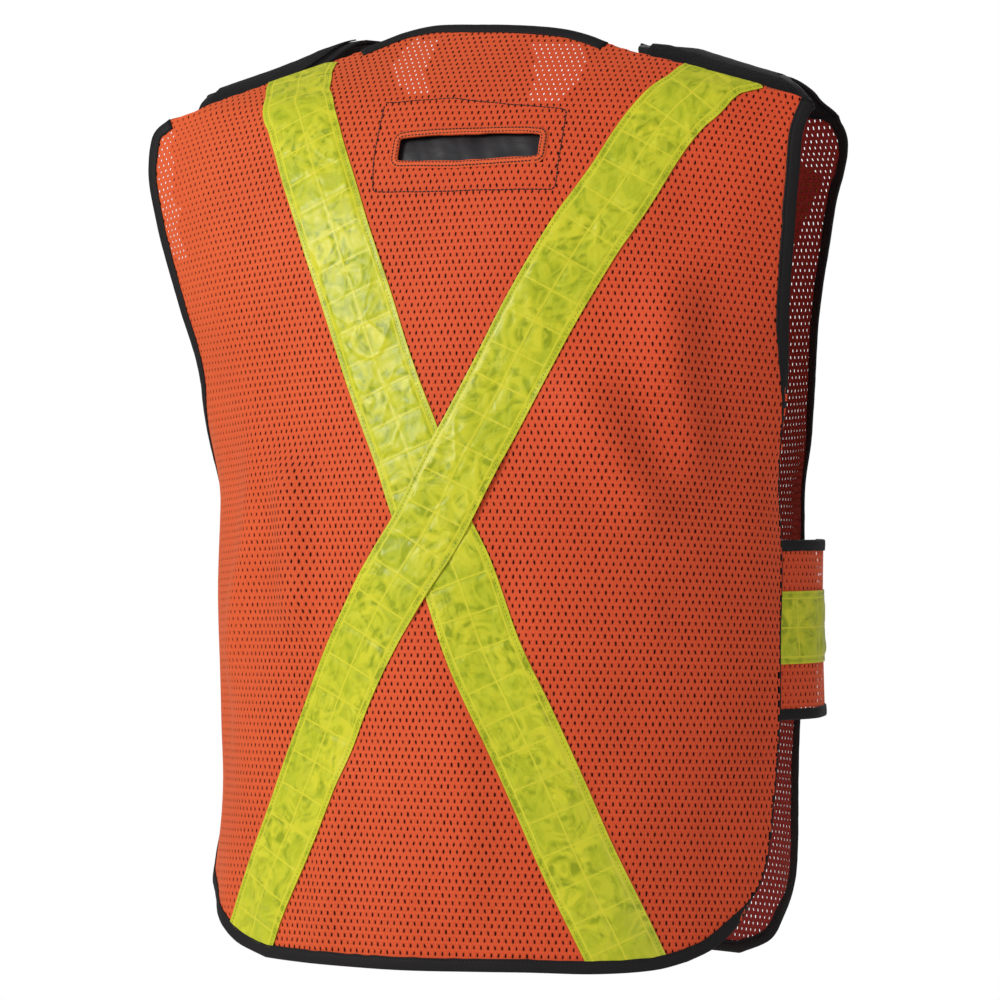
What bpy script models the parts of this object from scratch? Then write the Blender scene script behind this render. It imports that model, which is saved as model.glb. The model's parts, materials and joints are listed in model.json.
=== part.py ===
# High visibility vest, five-point breakaway pattern, mesh body with an X of
# reflective tape on the back.  Metres, +Z up, front of the garment faces -Y,
# the wearer's left is +X.  The frame's origin is at shoulder level, between
# the shoulders.
import bpy
import math
import numpy as np

for ob in list(bpy.data.objects):
    bpy.data.objects.remove(ob, do_unlink=True)

# ---------------------------------------------------------------- dimensions
SHOULDER_LEVEL = 0.620      # frame origin above the back hem
FABRIC = 0.0010             # knitted mesh
BIND_THICK = 0.0025         # folded edge binding with the fabric edge inside
BIND_WIDTH = 0.0090         # binding width seen on each face
GAP = 0.0003
BACK_MID = 0.0080           # layers: distance outward from the body form
STRAP_MID = 0.0040
FRONT_MID = 0.0005
TAPE_WIDTH = 0.0508         # two inch reflective tape
TAPE = 0.0006
TAPE_GAP = 0.0012
SLOT_WIDTH = 0.099          # harness ring slot in the back
SLOT_HEIGHT = 0.015
SLOT_CENTRE = (2.6, 0.568)
PATCH_WIDTH = 0.130
PATCH_HEIGHT = 0.066

# Body form: height above the hem, half width, depth of the back and of the
# front from the centre plane, sideways drape.
FORM = np.array([
    (-0.030, 0.222, 0.181, -0.151, 0.000),
    (0.000, 0.221, 0.180, -0.150, 0.000),
    (0.100, 0.218, 0.173, -0.150, 0.000),
    (0.320, 0.215, 0.161, -0.148, 0.000),
    (0.400, 0.233, 0.150, -0.140, 0.000),
    (0.460, 0.255, 0.140, -0.130, -0.004),
    (0.520, 0.275, 0.125, -0.112, -0.006),
    (0.570, 0.289, 0.104, -0.090, -0.008),
    (0.600, 0.290, 0.086, -0.072, -0.008),
    (0.618, 0.252, 0.070, -0.062, -0.006),
    (0.645, 0.158, 0.042, -0.050, -0.004),
    (0.672, 0.090, 0.017, -0.042, 0.000),
    (0.700, 0.058, 0.008, -0.038, 0.000)])

# Outlines as (angle from the centre back in degrees, + to the wearer's
# right; height above the hem).
BACK_RIGHT = [(49, .008), (55.5, .0165), (61.5, .031), (66.5, .049), (70.5, .077), (72.5, .119),
              (73.5, .157), (74.5, .220), (75.5, .296), (71, .374), (63, .450), (58, .525), (56, .571),
              (58, .597)]
BACK_LEFT = [(-34, .003), (-43, .010), (-50, .022), (-60, .038), (-74, .056), (-82, .080), (-85, .131),
             (-85.5, .200), (-85.5, .280), (-83, .335), (-74, .370), (-64, .402), (-60, .435),
             (-60, .467), (-61, .493), (-62, .520), (-61, .544), (-60, .565), (-60, .581), (-59, .597)]
BACK_HEM = [(-34, .003), (-20, .002), (-3, .0015), (17, .002), (31, .001), (42, .003), (49, .008)]
BACK_TOP = [(-59, .597), (-55, .600), (-49, .604), (-43.5, .620), (-40.5, .636), (-38.5, .651),
            (-35.5, .658), (-26, .662), (-8, .661), (8, .659), (22, .655), (30, .648), (34.5, .636),
            (40.5, .6235), (48.5, .608), (58, .597)]
FRONT_SIDE = [(142, -.012), (133, .000), (128, .020), (122, .042), (119, .070), (115, .150), (107, .230),
              (104, .300), (108, .350), (116, .390), (122, .440), (124, .480), (124, .515), (123.5, .540),
              (121.5, .560), (119.8, .573), (119.3, .583), (120, .591), (121.3, .598), (120.5, .606), (115, .6165),
              (103, .6255), (88, .629), (74, .6245), (62, .609), (51.5, .585)]
FRONT_HEM = [(142, -.012), (155, -.012), (170, -.011), (187, -.010)]
FRONT_CENTRE = [(187, -.010), (187, .100), (187, .300), (187, .440), (184, .500), (170, .545), (158, .588),
                (142, .628), (120, .657), (92, .667), (68, .6625), (53, .6555), (43, .645), (36.5, .630), (33, .610)]
FRONT_END = [(51.5, .585), (46, .594), (39.5, .602), (33, .610)]
# The left shoulder end is cut a little fuller.
FRONT_SIDE_LEFT = FRONT_SIDE[:13] + [(123, .545), (122, .581), (119, .602), (108, .617), (90, .622), (70, .615),
                                     (59, .597), (51, .575)]
FRONT_CENTRE_LEFT = FRONT_CENTRE[:10] + [(62, .656), (44, .635), (33, .610)]
FRONT_END_LEFT = [(51, .575), (45, .588), (39, .599), (33, .610)]
# How far the shoulder ends of the fronts sink inside or stand off the body
# form, by height above the hem.
SAG_RIGHT = [(.500, 0), (.530, -.001), (.555, -.004), (.575, -.008), (.590, -.010), (.602, -.0115), (.612, -.0105),
             (.622, -.0085), (.632, -.0065), (.642, -.0048), (.650, -.0050), (.656, -.0090), (.662, -.0145),
             (.668, -.0165), (.700, -.0170)]
SAG_LEFT = [(.500, 0), (.612, 0), (.620, .0003), (.629, .0012), (.6366, .0020), (.6477, .0020), (.654, .0010),
            (.658, .0), (.6625, -.0025), (.667, -.0060), (.700, -.0065)]

STRAP_BOTTOM, STRAP_TOP = 0.170, 0.296
STRAP_UNDER = 16.0          # how far a strap runs under the back panel, in degrees
STRAP_TO = 112.0
STRAP_EDGE = {1: 76.0, -1: 86.5}     # where the strap comes out from under the back panel
STRAP_BULGE = {1: 0.011, -1: 0.009}
TAB_TO = 140.0
TAPE_OVER = [(44, .612), (38.5, .604), (33.5, .594), (29.7, .578), (27, .552), (24.3, .528), (22, .504),
             (17, .456), (11.7, .408), (6.3, .360), (0, .309), (-5.5, .275), (-11.2, .240), (-17.8, .192),
             (-23.4, .1425), (-29.2, .093), (-36, .042), (-38.3, .022)]
TAPE_UNDER = [(-37.5, .625), (-27.5, .606), (-23.3, .584), (-21, .558), (-17.2, .508), (-13.5, .458),
              (-10.5, .4095), (-5, .357), (0, .309), (5, .272), (10.4, .2175), (16.5, .170),
              (22.3, .1225), (28, .075), (34.5, .0275), (36.3, .014)]
WAIST_TAPE_HEIGHT = 0.2345


# ------------------------------------------------------------------ geometry
def smooth_table(x, table):
    """Monotone cubic through the rows of a table, first column the input."""
    xs, ys = table[:, 0], table[:, 1:]
    h = np.diff(xs)[:, None]
    d = np.diff(ys, axis=0) / h
    m = np.zeros_like(ys)
    m[0], m[-1] = d[0], d[-1]
    for k in range(1, len(xs) - 1):
        same = d[k - 1] * d[k] > 0
        w1, w2 = 2 * h[k] + h[k - 1], h[k] + 2 * h[k - 1]
        with np.errstate(divide="ignore", invalid="ignore"):
            hm = (w1 + w2) / (w1 / d[k - 1] + w2 / d[k])
        m[k] = np.where(same, hm, 0.0)
    i = int(np.clip(np.searchsorted(xs, x) - 1, 0, len(xs) - 2))
    hk = xs[i + 1] - xs[i]
    s = min(max((x - xs[i]) / hk, 0.0), 1.0)
    return ((2 * s ** 3 - 3 * s ** 2 + 1) * ys[i] + (s ** 3 - 2 * s ** 2 + s) * hk * m[i]
            + (-2 * s ** 3 + 3 * s ** 2) * ys[i + 1] + (s ** 3 - s ** 2) * hk * m[i + 1])


def form(t, z):
    """Point of the body form at an angle and a height."""
    a, yb, yf, xc = smooth_table(z, FORM)
    r = math.radians(t)
    return np.array([-a * math.sin(r) - xc, (yb + yf) / 2 + (yb - yf) / 2 * math.cos(r), z - SHOULDER_LEVEL])


def normal(t, z):
    du = form(t + 0.5, z) - form(t - 0.5, z)
    dv = form(t, z + 0.001) - form(t, z - 0.001)
    n = np.cross(dv, du)
    n /= np.linalg.norm(n)
    out = form(t, z) - np.array([0, 0.015, -0.25 if z > 0.6 else form(t, z)[2]])
    return n if np.dot(n, out) > 0 else -n


def at(t, z, off):
    return form(t, z) + normal(t, z) * off


def curve(points, samples=400):
    """Smooth curve through control points, returned as f(0..1) by arc length."""
    p = np.array(points, float)
    q = np.vstack([2 * p[0] - p[1], p, 2 * p[-1] - p[-2]])
    out = []
    for i in range(len(p) - 1):
        a, b, c, d = q[i:i + 4]
        for s in np.linspace(0, 1, samples // (len(p) - 1), endpoint=False):
            out.append(0.5 * ((2 * b) + (c - a) * s + (2 * a - 5 * b + 4 * c - d) * s ** 2
                              + (3 * b - a - 3 * c + d) * s ** 3))
    out.append(p[-1])
    out = np.array(out)
    xyz = np.array([form(*o) for o in out])
    length = np.concatenate([[0], np.cumsum(np.linalg.norm(np.diff(xyz, axis=0), axis=1))])
    total = length[-1]

    def f(s):
        w = s * total
        return np.array([np.interp(w, length, out[:, 0]), np.interp(w, length, out[:, 1])])
    f.total = total
    return f


def mirror(points):
    return [(-t, z) for t, z in points]


# -------------------------------------------------------------------- meshes
COLOURS = {
    "mesh": ((0.82, 0.10, 0.03, 1), 0.8), "binding": ((0.012, 0.011, 0.012, 1), 0.7),
    "tape": ((0.55, 0.66, 0.04, 1), 0.2), "hook": ((0.015, 0.015, 0.016, 1), 0.9),
    "nylon": ((0.02, 0.02, 0.022, 1), 0.5), "vinyl": ((0.7, 0.75, 0.78, 1), 0.1)}


def add(name, verts, faces, colour):
    me = bpy.data.meshes.new(name)
    me.from_pydata([tuple(v) for v in verts], [], faces)
    me.validate()
    ob = bpy.data.objects.new(name, me)
    bpy.context.scene.collection.objects.link(ob)
    mat = bpy.data.materials.new(name)
    mat.use_nodes = True
    rgba, rough = COLOURS[colour]
    bsdf = mat.node_tree.nodes["Principled BSDF"]
    bsdf.inputs["Base Color"].default_value = rgba
    bsdf.inputs["Roughness"].default_value = rough
    me.materials.append(mat)
    bpy.context.view_layer.objects.active = ob
    ob.select_set(True)
    bpy.ops.object.mode_set(mode="EDIT")
    bpy.ops.mesh.select_all(action="SELECT")
    bpy.ops.mesh.normals_make_consistent(inside=False)
    bpy.ops.object.mode_set(mode="OBJECT")
    ob.select_set(False)
    return ob


def block(name, grid, lo, hi, colour, extra=None):
    """Closed sheet: a grid of (angle, height), between two offsets."""
    nv, nu = len(grid), len(grid[0])
    verts, faces = [], []
    for off in (lo, hi):
        for j in range(nv):
            for i in range(nu):
                t, z = grid[j][i]
                verts.append(at(t, z, off + (extra(t, z) if extra else 0.0)))
    n = nv * nu
    for j in range(nv - 1):
        for i in range(nu - 1):
            a, b, c, d = j * nu + i, j * nu + i + 1, (j + 1) * nu + i + 1, (j + 1) * nu + i
            faces += [(a, b, c, d), (n + a, n + d, n + c, n + b)]
    ring = ([i for i in range(nu)] + [j * nu + nu - 1 for j in range(1, nv)]
            + [(nv - 1) * nu + i for i in range(nu - 2, -1, -1)] + [j * nu for j in range(nv - 2, 0, -1)])
    for a, b in zip(ring, ring[1:] + ring[:1]):
        faces.append((a, b, n + b, n + a))
    return add(name, verts, faces, colour)


def surface_step(t, z, vec):
    """Angle and height steps that move along the form by a 3-D vector."""
    du = (form(t + 0.5, z) - form(t - 0.5, z))
    dv = (form(t, z + 0.001) - form(t, z - 0.001)) / 0.002
    m = np.array([[du @ du, du @ dv], [du @ dv, dv @ dv]])
    return np.linalg.solve(m, np.array([du @ vec, dv @ vec]))


def frames(f, count, ends=(0.0, 1.0)):
    """Points along a curve with the in-surface direction to its left."""
    out = []
    for s in np.linspace(ends[0], ends[1], count):
        p = f(s)
        a, b = f(max(s - 0.004, 0)), f(min(s + 0.004, 1))
        tan = form(*b) - form(*a)
        tan /= np.linalg.norm(tan)
        side = np.cross(normal(*p), tan)
        out.append((p, side / np.linalg.norm(side)))
    return out


def binding(name, fr, mid, inward, colour="binding", width=BIND_WIDTH, extra=None):
    """Folded binding along an edge; inward is +1 when the fabric is to the edge's left."""
    h = BIND_THICK / 2
    section = [(width, h), (width / 2, h), (0.0, h * 0.8), (0.0, -h * 0.8), (width / 2, -h), (width, -h)]
    verts, faces = [], []
    for p, side in fr:
        for w, off in section:
            q = p + surface_step(p[0], p[1], side * inward * w)
            verts.append(at(q[0], q[1], mid + off + (extra(*p) if extra else 0.0)))
    k = len(section)
    for j in range(len(fr) - 1):
        for i in range(k):
            a, b = j * k + i, j * k + (i + 1) % k
            faces.append((a, b, b + k, a + k))
    last = (len(fr) - 1) * k
    for base, flip in ((0, False), (last, True)):
        for q in ((0, 1, 4, 5), (1, 2, 3, 4)):
            q = [base + i for i in q]
            faces.append(tuple(q[::-1] if flip else q))
    return add(name, verts, faces, colour)


def edge_chain(pieces):
    """Sample curves end to end: [(curve, values of s)], with in-surface left directions."""
    pts = []
    for f, values in pieces:
        for s in values:
            p = f(s)
            if not pts or not np.allclose(pts[-1], p, atol=1e-6):
                pts.append(p)
    out = []
    for i, p in enumerate(pts):
        a, b = pts[max(i - 1, 0)], pts[min(i + 1, len(pts) - 1)]
        here = form(*p)
        came = here - form(*a) if i else form(*b) - here
        goes = form(*b) - here if i < len(pts) - 1 else came
        came, goes = came / np.linalg.norm(came), goes / np.linalg.norm(goes)
        tan = (came + goes) / np.linalg.norm(came + goes)
        side = np.cross(normal(*p), tan)
        mitre = min(1.0 / max(float(tan @ came), 0.5), 1.5)
        out.append((p, side / np.linalg.norm(side) * mitre))
    return out


def inset(fr, inward, width):
    return [p + surface_step(p[0], p[1], side * inward * width) for p, side in fr]


def filled(hem, end, left, right, us, vs):
    """Grid of points inside four rows of boundary points."""
    rows = []
    for j, v in enumerate(vs):
        row = []
        for i, u in enumerate(us):
            row.append((1 - v) * hem[i] + v * end[i] + (1 - u) * left[j] + u * right[j]
                       - ((1 - u) * (1 - v) * hem[0] + u * (1 - v) * hem[-1]
                          + (1 - u) * v * end[0] + u * v * end[-1]))
        rows.append(row)
    return rows


def strip_grid(f, count, width, rows=5, ends=(0.0, 1.0)):
    grid = []
    fr = frames(f, count, ends)
    for p, side in fr:
        row = []
        for w in np.linspace(-width / 2, width / 2, rows):
            row.append(p + surface_step(p[0], p[1], side * w))
        grid.append(row)
    return grid


def rect(t0, t1, z0, z1, nu, nv):
    return [[(t, z) for t in np.linspace(t0, t1, nu)] for z in np.linspace(z0, z1, nv)]


def patch(centre, width, height, nu, nv):
    """Rectangle of given size laid level on the form about a centre."""
    t, z = centre
    across = form(t + 0.5, z) - form(t - 0.5, z)
    per = np.linalg.norm(across)
    return rect(t - width / 2 / per, t + width / 2 / per, z - height / 2, z + height / 2, nu, nv)


# ---------------------------------------------------------------- back panel
back_left, back_right = curve(BACK_LEFT), curve(BACK_RIGHT)
back_hem, back_top = curve(BACK_HEM), curve(BACK_TOP)
us = np.linspace(0, 1, 27)
vs = np.concatenate([np.linspace(0, 0.78, 19), np.linspace(0.78, 1, 13)[1:]])
NECK_FROM, NECK_TO = 7, 19          # columns of the grid that meet the neck
FABRIC_EDGE = BIND_WIDTH + 3 * GAP

edge = edge_chain([(back_left, vs[::-1]), (back_hem, us), (back_right, vs)])
inner = inset(edge, 1, FABRIC_EDGE)
left_in, hem_in, right_in = inner[:len(vs)][::-1], inner[len(vs) - 1:len(vs) + len(us) - 1], inner[-len(vs):]
neck = edge_chain([(back_top, us)])
neck_in = inset(neck, -1, FABRIC_EDGE)
top_in = [neck_in[i] if NECK_FROM <= i <= NECK_TO else neck[i][0] for i in range(len(us))]
top_in[0], top_in[-1] = left_in[-1], right_in[-1]
grid = filled(hem_in, top_in, left_in, right_in, us, vs)
back = block("back_panel", grid, BACK_MID - FABRIC / 2, BACK_MID + FABRIC / 2, "mesh")
binding("back_edge_binding", edge[1:-1], BACK_MID, 1)
binding("back_neck_binding", neck[NECK_FROM:NECK_TO + 1], BACK_MID, -1)

sc = at(SLOT_CENTRE[0], SLOT_CENTRE[1], BACK_MID)
sn = normal(*SLOT_CENTRE)


def slot_tool(width, height, depth):
    bpy.ops.mesh.primitive_cube_add(size=1)
    tool = bpy.context.active_object
    tool.scale = (width, depth, height)
    tool.rotation_euler = (-math.atan2(sn[2], math.hypot(sn[0], sn[1])) * -1, 0, 0)
    tool.location = sc
    bpy.ops.object.transform_apply(location=True, rotation=True, scale=True)
    return tool


def cut(ob, tool):
    mod = ob.modifiers.new("cut", "BOOLEAN")
    mod.operation = "DIFFERENCE"
    mod.solver = "EXACT"
    mod.object = tool
    bpy.context.view_layer.objects.active = ob
    bpy.ops.object.modifier_apply(modifier=mod.name)


tool = slot_tool(SLOT_WIDTH, SLOT_HEIGHT, 0.05)
cut(back, tool)

# folded welt round the slot, on the outer face
grid = patch(SLOT_CENTRE, SLOT_WIDTH + 0.008, SLOT_HEIGHT + 0.008, 9, 4)
welt = block("slot_welt", grid, BACK_MID + FABRIC / 2 + 0.0006, BACK_MID + FABRIC / 2 + 0.0012, "mesh")
cut(welt, tool)
# nylon facing behind the slot, sewn round, with the same slot
grid = patch(SLOT_CENTRE, PATCH_WIDTH, PATCH_HEIGHT, 9, 5)
facing = block("slot_facing", grid, BACK_MID - FABRIC / 2 - 0.0014, BACK_MID - FABRIC / 2 - 0.0006, "nylon")
cut(facing, tool)
bpy.data.objects.remove(tool, do_unlink=True)
# nylon flap hanging behind the slot, sewn along its top
FLAP_TOP = SLOT_CENTRE[1] + 0.026
grid = [[(t, z) for t, _ in patch(SLOT_CENTRE, 0.112, 0.02, 9, 2)[0]]
        for z in np.linspace(FLAP_TOP - 0.052, FLAP_TOP, 5)]
block("slot_flap", grid, BACK_MID - 0.0038, BACK_MID - 0.0028, "nylon")


# ------------------------------------------------------------- back X of tape
def shoulder_ease(t, z):
    s = min(max((z - 0.560) / 0.030, 0.0), 1.0)
    return 0.0018 * s


def over_bump(t, z):
    d = math.hypot((t + 0.4) * 0.003, z - 0.310)
    s = min(max((0.075 - d) / 0.025, 0.0), 1.0)
    return (TAPE + TAPE_GAP) * s * s * (3 - 2 * s) + shoulder_ease(t, z)


tape_base = BACK_MID + FABRIC / 2 + TAPE_GAP
grid = strip_grid(curve(TAPE_UNDER), 31, TAPE_WIDTH, 4, ends=(0.012, 0.995))
block("back_tape_under", grid, tape_base, tape_base + TAPE, "tape", shoulder_ease)
grid = strip_grid(curve(TAPE_OVER), 37, TAPE_WIDTH, 4, ends=(0.012, 0.992))
block("back_tape_over", grid, tape_base, tape_base + TAPE, "tape", over_bump)


# ------------------------------------------------- front panels and side parts
def closure_lift(lift, sag):
    def f(t, z):
        s = min(max((abs(t) - 158.0) / 15.0, 0.0), 1.0)
        return lift * s * s * (3 - 2 * s) + float(np.interp(z, [a for a, _ in sag], [b for _, b in sag]))
    return f


for side, word, lift in ((1, "right", 0.0), (-1, "left", 0.0052)):
    flip = (lambda p: p) if side > 0 else mirror
    right = side > 0
    outer, hem = curve(flip(FRONT_SIDE if right else FRONT_SIDE_LEFT)), curve(flip(FRONT_HEM))
    centre, end = (curve(flip(c)) for c in ((FRONT_CENTRE, FRONT_END) if right else (FRONT_CENTRE_LEFT, FRONT_END_LEFT)))
    us = np.linspace(0, 1, 11)
    vs = np.concatenate([np.linspace(0, 0.74, 20), np.linspace(0.74, 1, 20)[1:]])
    raise_it = closure_lift(lift, SAG_RIGHT if right else SAG_LEFT)
    edge = edge_chain([(outer, vs[::-1]), (hem, us), (centre, vs)])
    inner = inset(edge, side, FABRIC_EDGE)
    outer_in, hem_in, centre_in = inner[:len(vs)][::-1], inner[len(vs) - 1:len(vs) + len(us) - 1], inner[-len(vs):]
    trim = FABRIC_EDGE / end.total
    end_in = [end(trim + (1 - 2 * trim) * u) for u in us]
    end_in[0], end_in[-1] = outer_in[-1], centre_in[-1]
    fgrid = filled(hem_in, end_in, outer_in, centre_in, us, vs)
    block("front_panel_" + word, fgrid, FRONT_MID - FABRIC / 2, FRONT_MID + FABRIC / 2, "mesh", raise_it)
    binding("front_edge_binding_" + word, edge[1:-1], FRONT_MID, side, extra=raise_it)

    # reflective tape on the front: one over the shoulder, one level
    path = [(152, .0030), (152, .080), (152, .200)]
    tape0 = FRONT_MID + FABRIC / 2 + TAPE_GAP
    grid = strip_grid(curve(flip(path)), 9, TAPE_WIDTH, 4)
    block("front_low_tape_" + word, grid, tape0, tape0 + TAPE, "tape")
    path = [(152, .2690), (151, .380), (147, .470), (141, .530), (135, .572)]
    grid = strip_grid(curve(flip(path)), 19, TAPE_WIDTH, 4)
    block("front_chest_tape_" + word, grid, tape0, tape0 + TAPE, "tape", raise_it)
    grid = rect(side * 143.0, side * (174.0 if side > 0 else 184.0), WAIST_TAPE_HEIGHT - TAPE_WIDTH / 2,
                WAIST_TAPE_HEIGHT + TAPE_WIDTH / 2, 8, 4)
    block("front_waist_tape_" + word, grid, tape0, tape0 + TAPE, "tape", raise_it)

    # shoulder fastening: loop strip on the front panel's end, hook strip under the back panel
    block("shoulder_loop_" + word, [row[2:-2] for row in fgrid[29:38]], 0.0018, 0.0028, "hook", raise_it)
    block("shoulder_hook_" + word, [row[2:-2] for row in fgrid[34:38]], 0.0036, 0.0046, "hook", raise_it)

    # side strap from under the back panel, and the tab that grips the front panel
    def bulge(t, z, side=side):
        s = (abs(t) - STRAP_EDGE[side]) / (130.0 - STRAP_EDGE[side])
        return STRAP_BULGE[side] * math.sin(math.pi * s) if 0.0 < s < 1.0 else 0.0

    s0, s1 = side * (STRAP_EDGE[side] - STRAP_UNDER), side * STRAP_TO
    grid = rect(s0, s1, STRAP_BOTTOM + 0.0088, STRAP_TOP - 0.0088, 16, 6)
    block("side_strap_" + word, grid, STRAP_MID - FABRIC / 2, STRAP_MID + FABRIC / 2, "mesh", bulge)
    bound = np.linspace(0, 1, 16)
    for where, z, up in (("top", STRAP_TOP, 1), ("bottom", STRAP_BOTTOM, -1)):
        line = edge_chain([(lambda u, z=z: np.array([s0 + (s1 - s0) * u, z]), bound)])
        binding("side_strap_%s_binding_%s" % (where, word), line, STRAP_MID, -side * up, width=0.008, extra=bulge)
    t0 = side * (STRAP_EDGE[side] + 2.0)
    grid = rect(t0, side * (STRAP_TO - 0.3), WAIST_TAPE_HEIGHT - TAPE_WIDTH / 2, WAIST_TAPE_HEIGHT + TAPE_WIDTH / 2, 12, 3)
    block("side_strap_tape_" + word, grid, STRAP_MID + FABRIC / 2 + TAPE_GAP,
          STRAP_MID + FABRIC / 2 + TAPE_GAP + TAPE, "tape", bulge)
    grid = rect(side * (STRAP_TO + 0.3), side * TAB_TO, STRAP_BOTTOM + 0.004, STRAP_TOP - 0.004, 12, 4)
    block("side_tab_" + word, grid, 0.0038, 0.0050, "nylon", bulge)
    grid = rect(side * 125.5, side * 138.0, STRAP_BOTTOM + 0.010, STRAP_TOP - 0.010, 7, 4)
    block("side_hook_" + word, grid, 0.0027, 0.0032, "hook", bulge)
    grid = rect(side * 124.0, side * 136.0, STRAP_BOTTOM + 0.006, STRAP_TOP - 0.006, 6, 4)
    block("side_loop_" + word, grid, 0.0016, 0.0021, "hook")

# front closure: loop strip on the right panel, hook strip inside the left panel
grid = rect(175.0, 183.8, 0.010, 0.430, 3, 13)
block("front_closure_loop", grid, 0.0017, 0.0025, "hook")
grid = [[(t, z) for t in np.linspace(-184.0, -175.5, 3)] for z in np.linspace(0.012, 0.428, 13)]
block("front_closure_hook", grid, 0.0032, 0.0041, "hook", None)
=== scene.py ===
# High visibility vest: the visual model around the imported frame.
import bpy
import json
import math
import numpy as np
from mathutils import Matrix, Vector
from mathutils.kdtree import KDTree

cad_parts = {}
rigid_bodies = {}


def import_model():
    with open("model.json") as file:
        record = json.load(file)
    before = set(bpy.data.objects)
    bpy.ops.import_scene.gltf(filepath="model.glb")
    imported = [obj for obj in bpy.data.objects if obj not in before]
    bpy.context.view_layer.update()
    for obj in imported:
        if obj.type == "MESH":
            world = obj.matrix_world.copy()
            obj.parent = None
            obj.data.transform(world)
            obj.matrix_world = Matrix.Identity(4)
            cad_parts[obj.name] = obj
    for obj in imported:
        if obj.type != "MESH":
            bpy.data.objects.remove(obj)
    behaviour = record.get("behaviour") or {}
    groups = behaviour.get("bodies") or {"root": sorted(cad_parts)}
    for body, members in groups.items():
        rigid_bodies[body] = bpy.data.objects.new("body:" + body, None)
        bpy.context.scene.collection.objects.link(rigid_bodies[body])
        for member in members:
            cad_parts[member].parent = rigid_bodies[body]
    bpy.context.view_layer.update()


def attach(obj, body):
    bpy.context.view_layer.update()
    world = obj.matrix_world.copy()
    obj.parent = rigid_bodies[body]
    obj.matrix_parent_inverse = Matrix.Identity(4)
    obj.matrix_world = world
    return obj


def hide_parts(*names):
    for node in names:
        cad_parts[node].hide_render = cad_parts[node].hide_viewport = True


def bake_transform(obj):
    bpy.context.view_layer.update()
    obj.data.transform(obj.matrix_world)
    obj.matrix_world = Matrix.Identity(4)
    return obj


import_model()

# ---------------------------------------------------------------- dimensions
SHOULDER_LEVEL = 0.620
BIND_WIDTH = 0.0090
BACK_MID = 0.0080           # layers: distance outward from the body form
STRAP_MID = 0.0040
FRONT_MID = 0.0005
TAPE_WIDTH = 0.0508
HOLE_ACROSS = 0.00476       # pitch of the holes along a row
HOLE_ROWS = 0.00497
SLOT_WIDTH = 0.104
SLOT_HEIGHT = 0.0170
SLOT_BOW = 0.0020
SLOT_CENTRE = (2.6, 0.568)
STRAP_BOTTOM, STRAP_TOP = 0.170, 0.296
STRAP_UNDER = 16.0
STRAP_TO = 112.0
STRAP_EDGE = {1: 76.0, -1: 86.5}
STRAP_BULGE = {1: 0.011, -1: 0.009}
TAB_TO = 140.0
WAIST_TAPE_HEIGHT = 0.2345

FORM = np.array([
    (-0.030, 0.222, 0.181, -0.151, 0.000),
    (0.000, 0.221, 0.180, -0.150, 0.000),
    (0.100, 0.218, 0.173, -0.150, 0.000),
    (0.320, 0.215, 0.161, -0.148, 0.000),
    (0.400, 0.233, 0.150, -0.140, 0.000),
    (0.460, 0.255, 0.140, -0.130, -0.004),
    (0.520, 0.275, 0.125, -0.112, -0.006),
    (0.570, 0.289, 0.104, -0.090, -0.008),
    (0.600, 0.290, 0.086, -0.072, -0.008),
    (0.618, 0.252, 0.070, -0.062, -0.006),
    (0.645, 0.158, 0.042, -0.050, -0.004),
    (0.672, 0.090, 0.017, -0.042, 0.000),
    (0.700, 0.058, 0.008, -0.038, 0.000)])

BACK_RIGHT = [(49, .008), (55.5, .0165), (61.5, .031), (66.5, .049), (70.5, .077), (72.5, .119),
              (73.5, .157), (74.5, .220), (75.5, .296), (71, .374), (63, .450), (58, .525), (56, .571),
              (58, .597)]
BACK_LEFT = [(-34, .003), (-43, .010), (-50, .022), (-60, .038), (-74, .056), (-82, .080), (-85, .131),
             (-85.5, .200), (-85.5, .280), (-83, .335), (-74, .370), (-64, .402), (-60, .435),
             (-60, .467), (-61, .493), (-62, .520), (-61.3, .544), (-60.6, .565), (-60.2, .581), (-59, .5915), (-55, .600)]
BACK_HEM = [(-34, .003), (-20, .002), (-3, .0015), (17, .002), (31, .001), (42, .003), (49, .008)]
BACK_TOP = [(-55, .600), (-49, .604), (-43.5, .620), (-40.5, .636), (-38.5, .651),
            (-35.5, .658), (-26, .662), (-8, .661), (8, .659), (22, .655), (30, .648), (34.5, .636),
            (40.5, .6235), (48.5, .608), (58, .597)]
FRONT_SIDE = [(142, -.012), (133, .000), (128, .020), (122, .042), (119, .070), (115, .150), (107, .230),
              (104, .300), (108, .350), (116, .390), (122, .440), (124, .480), (124, .515), (123.5, .540),
              (121.5, .560), (119.8, .573), (119.3, .583), (120, .591), (121.3, .598), (120.5, .606), (115, .6165),
              (103, .6255), (88, .629), (74, .6245), (62, .609), (51.5, .585)]
FRONT_HEM = [(142, -.012), (155, -.012), (170, -.011), (187, -.010)]
FRONT_CENTRE = [(187, -.010), (187, .100), (187, .300), (187, .440), (184, .500), (170, .545), (158, .588),
                (142, .628), (120, .657), (92, .667), (68, .6625), (53, .6555), (43, .645), (36.5, .630), (33, .610)]
FRONT_CENTRE_LEFT = FRONT_CENTRE[:10] + [(62, .656), (44, .635), (33, .610)]
FRONT_END = [(51.5, .585), (46, .594), (39.5, .602), (33, .610)]
FRONT_SIDE_LEFT = FRONT_SIDE[:13] + [(123, .545), (122, .581), (119, .602), (108, .617), (90, .6225), (72, .6220), (60, .6150), (50.5, .604), (44, .583)]
FRONT_END_LEFT = [(44, .583), (40, .593), (36, .602), (33, .610)]
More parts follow.
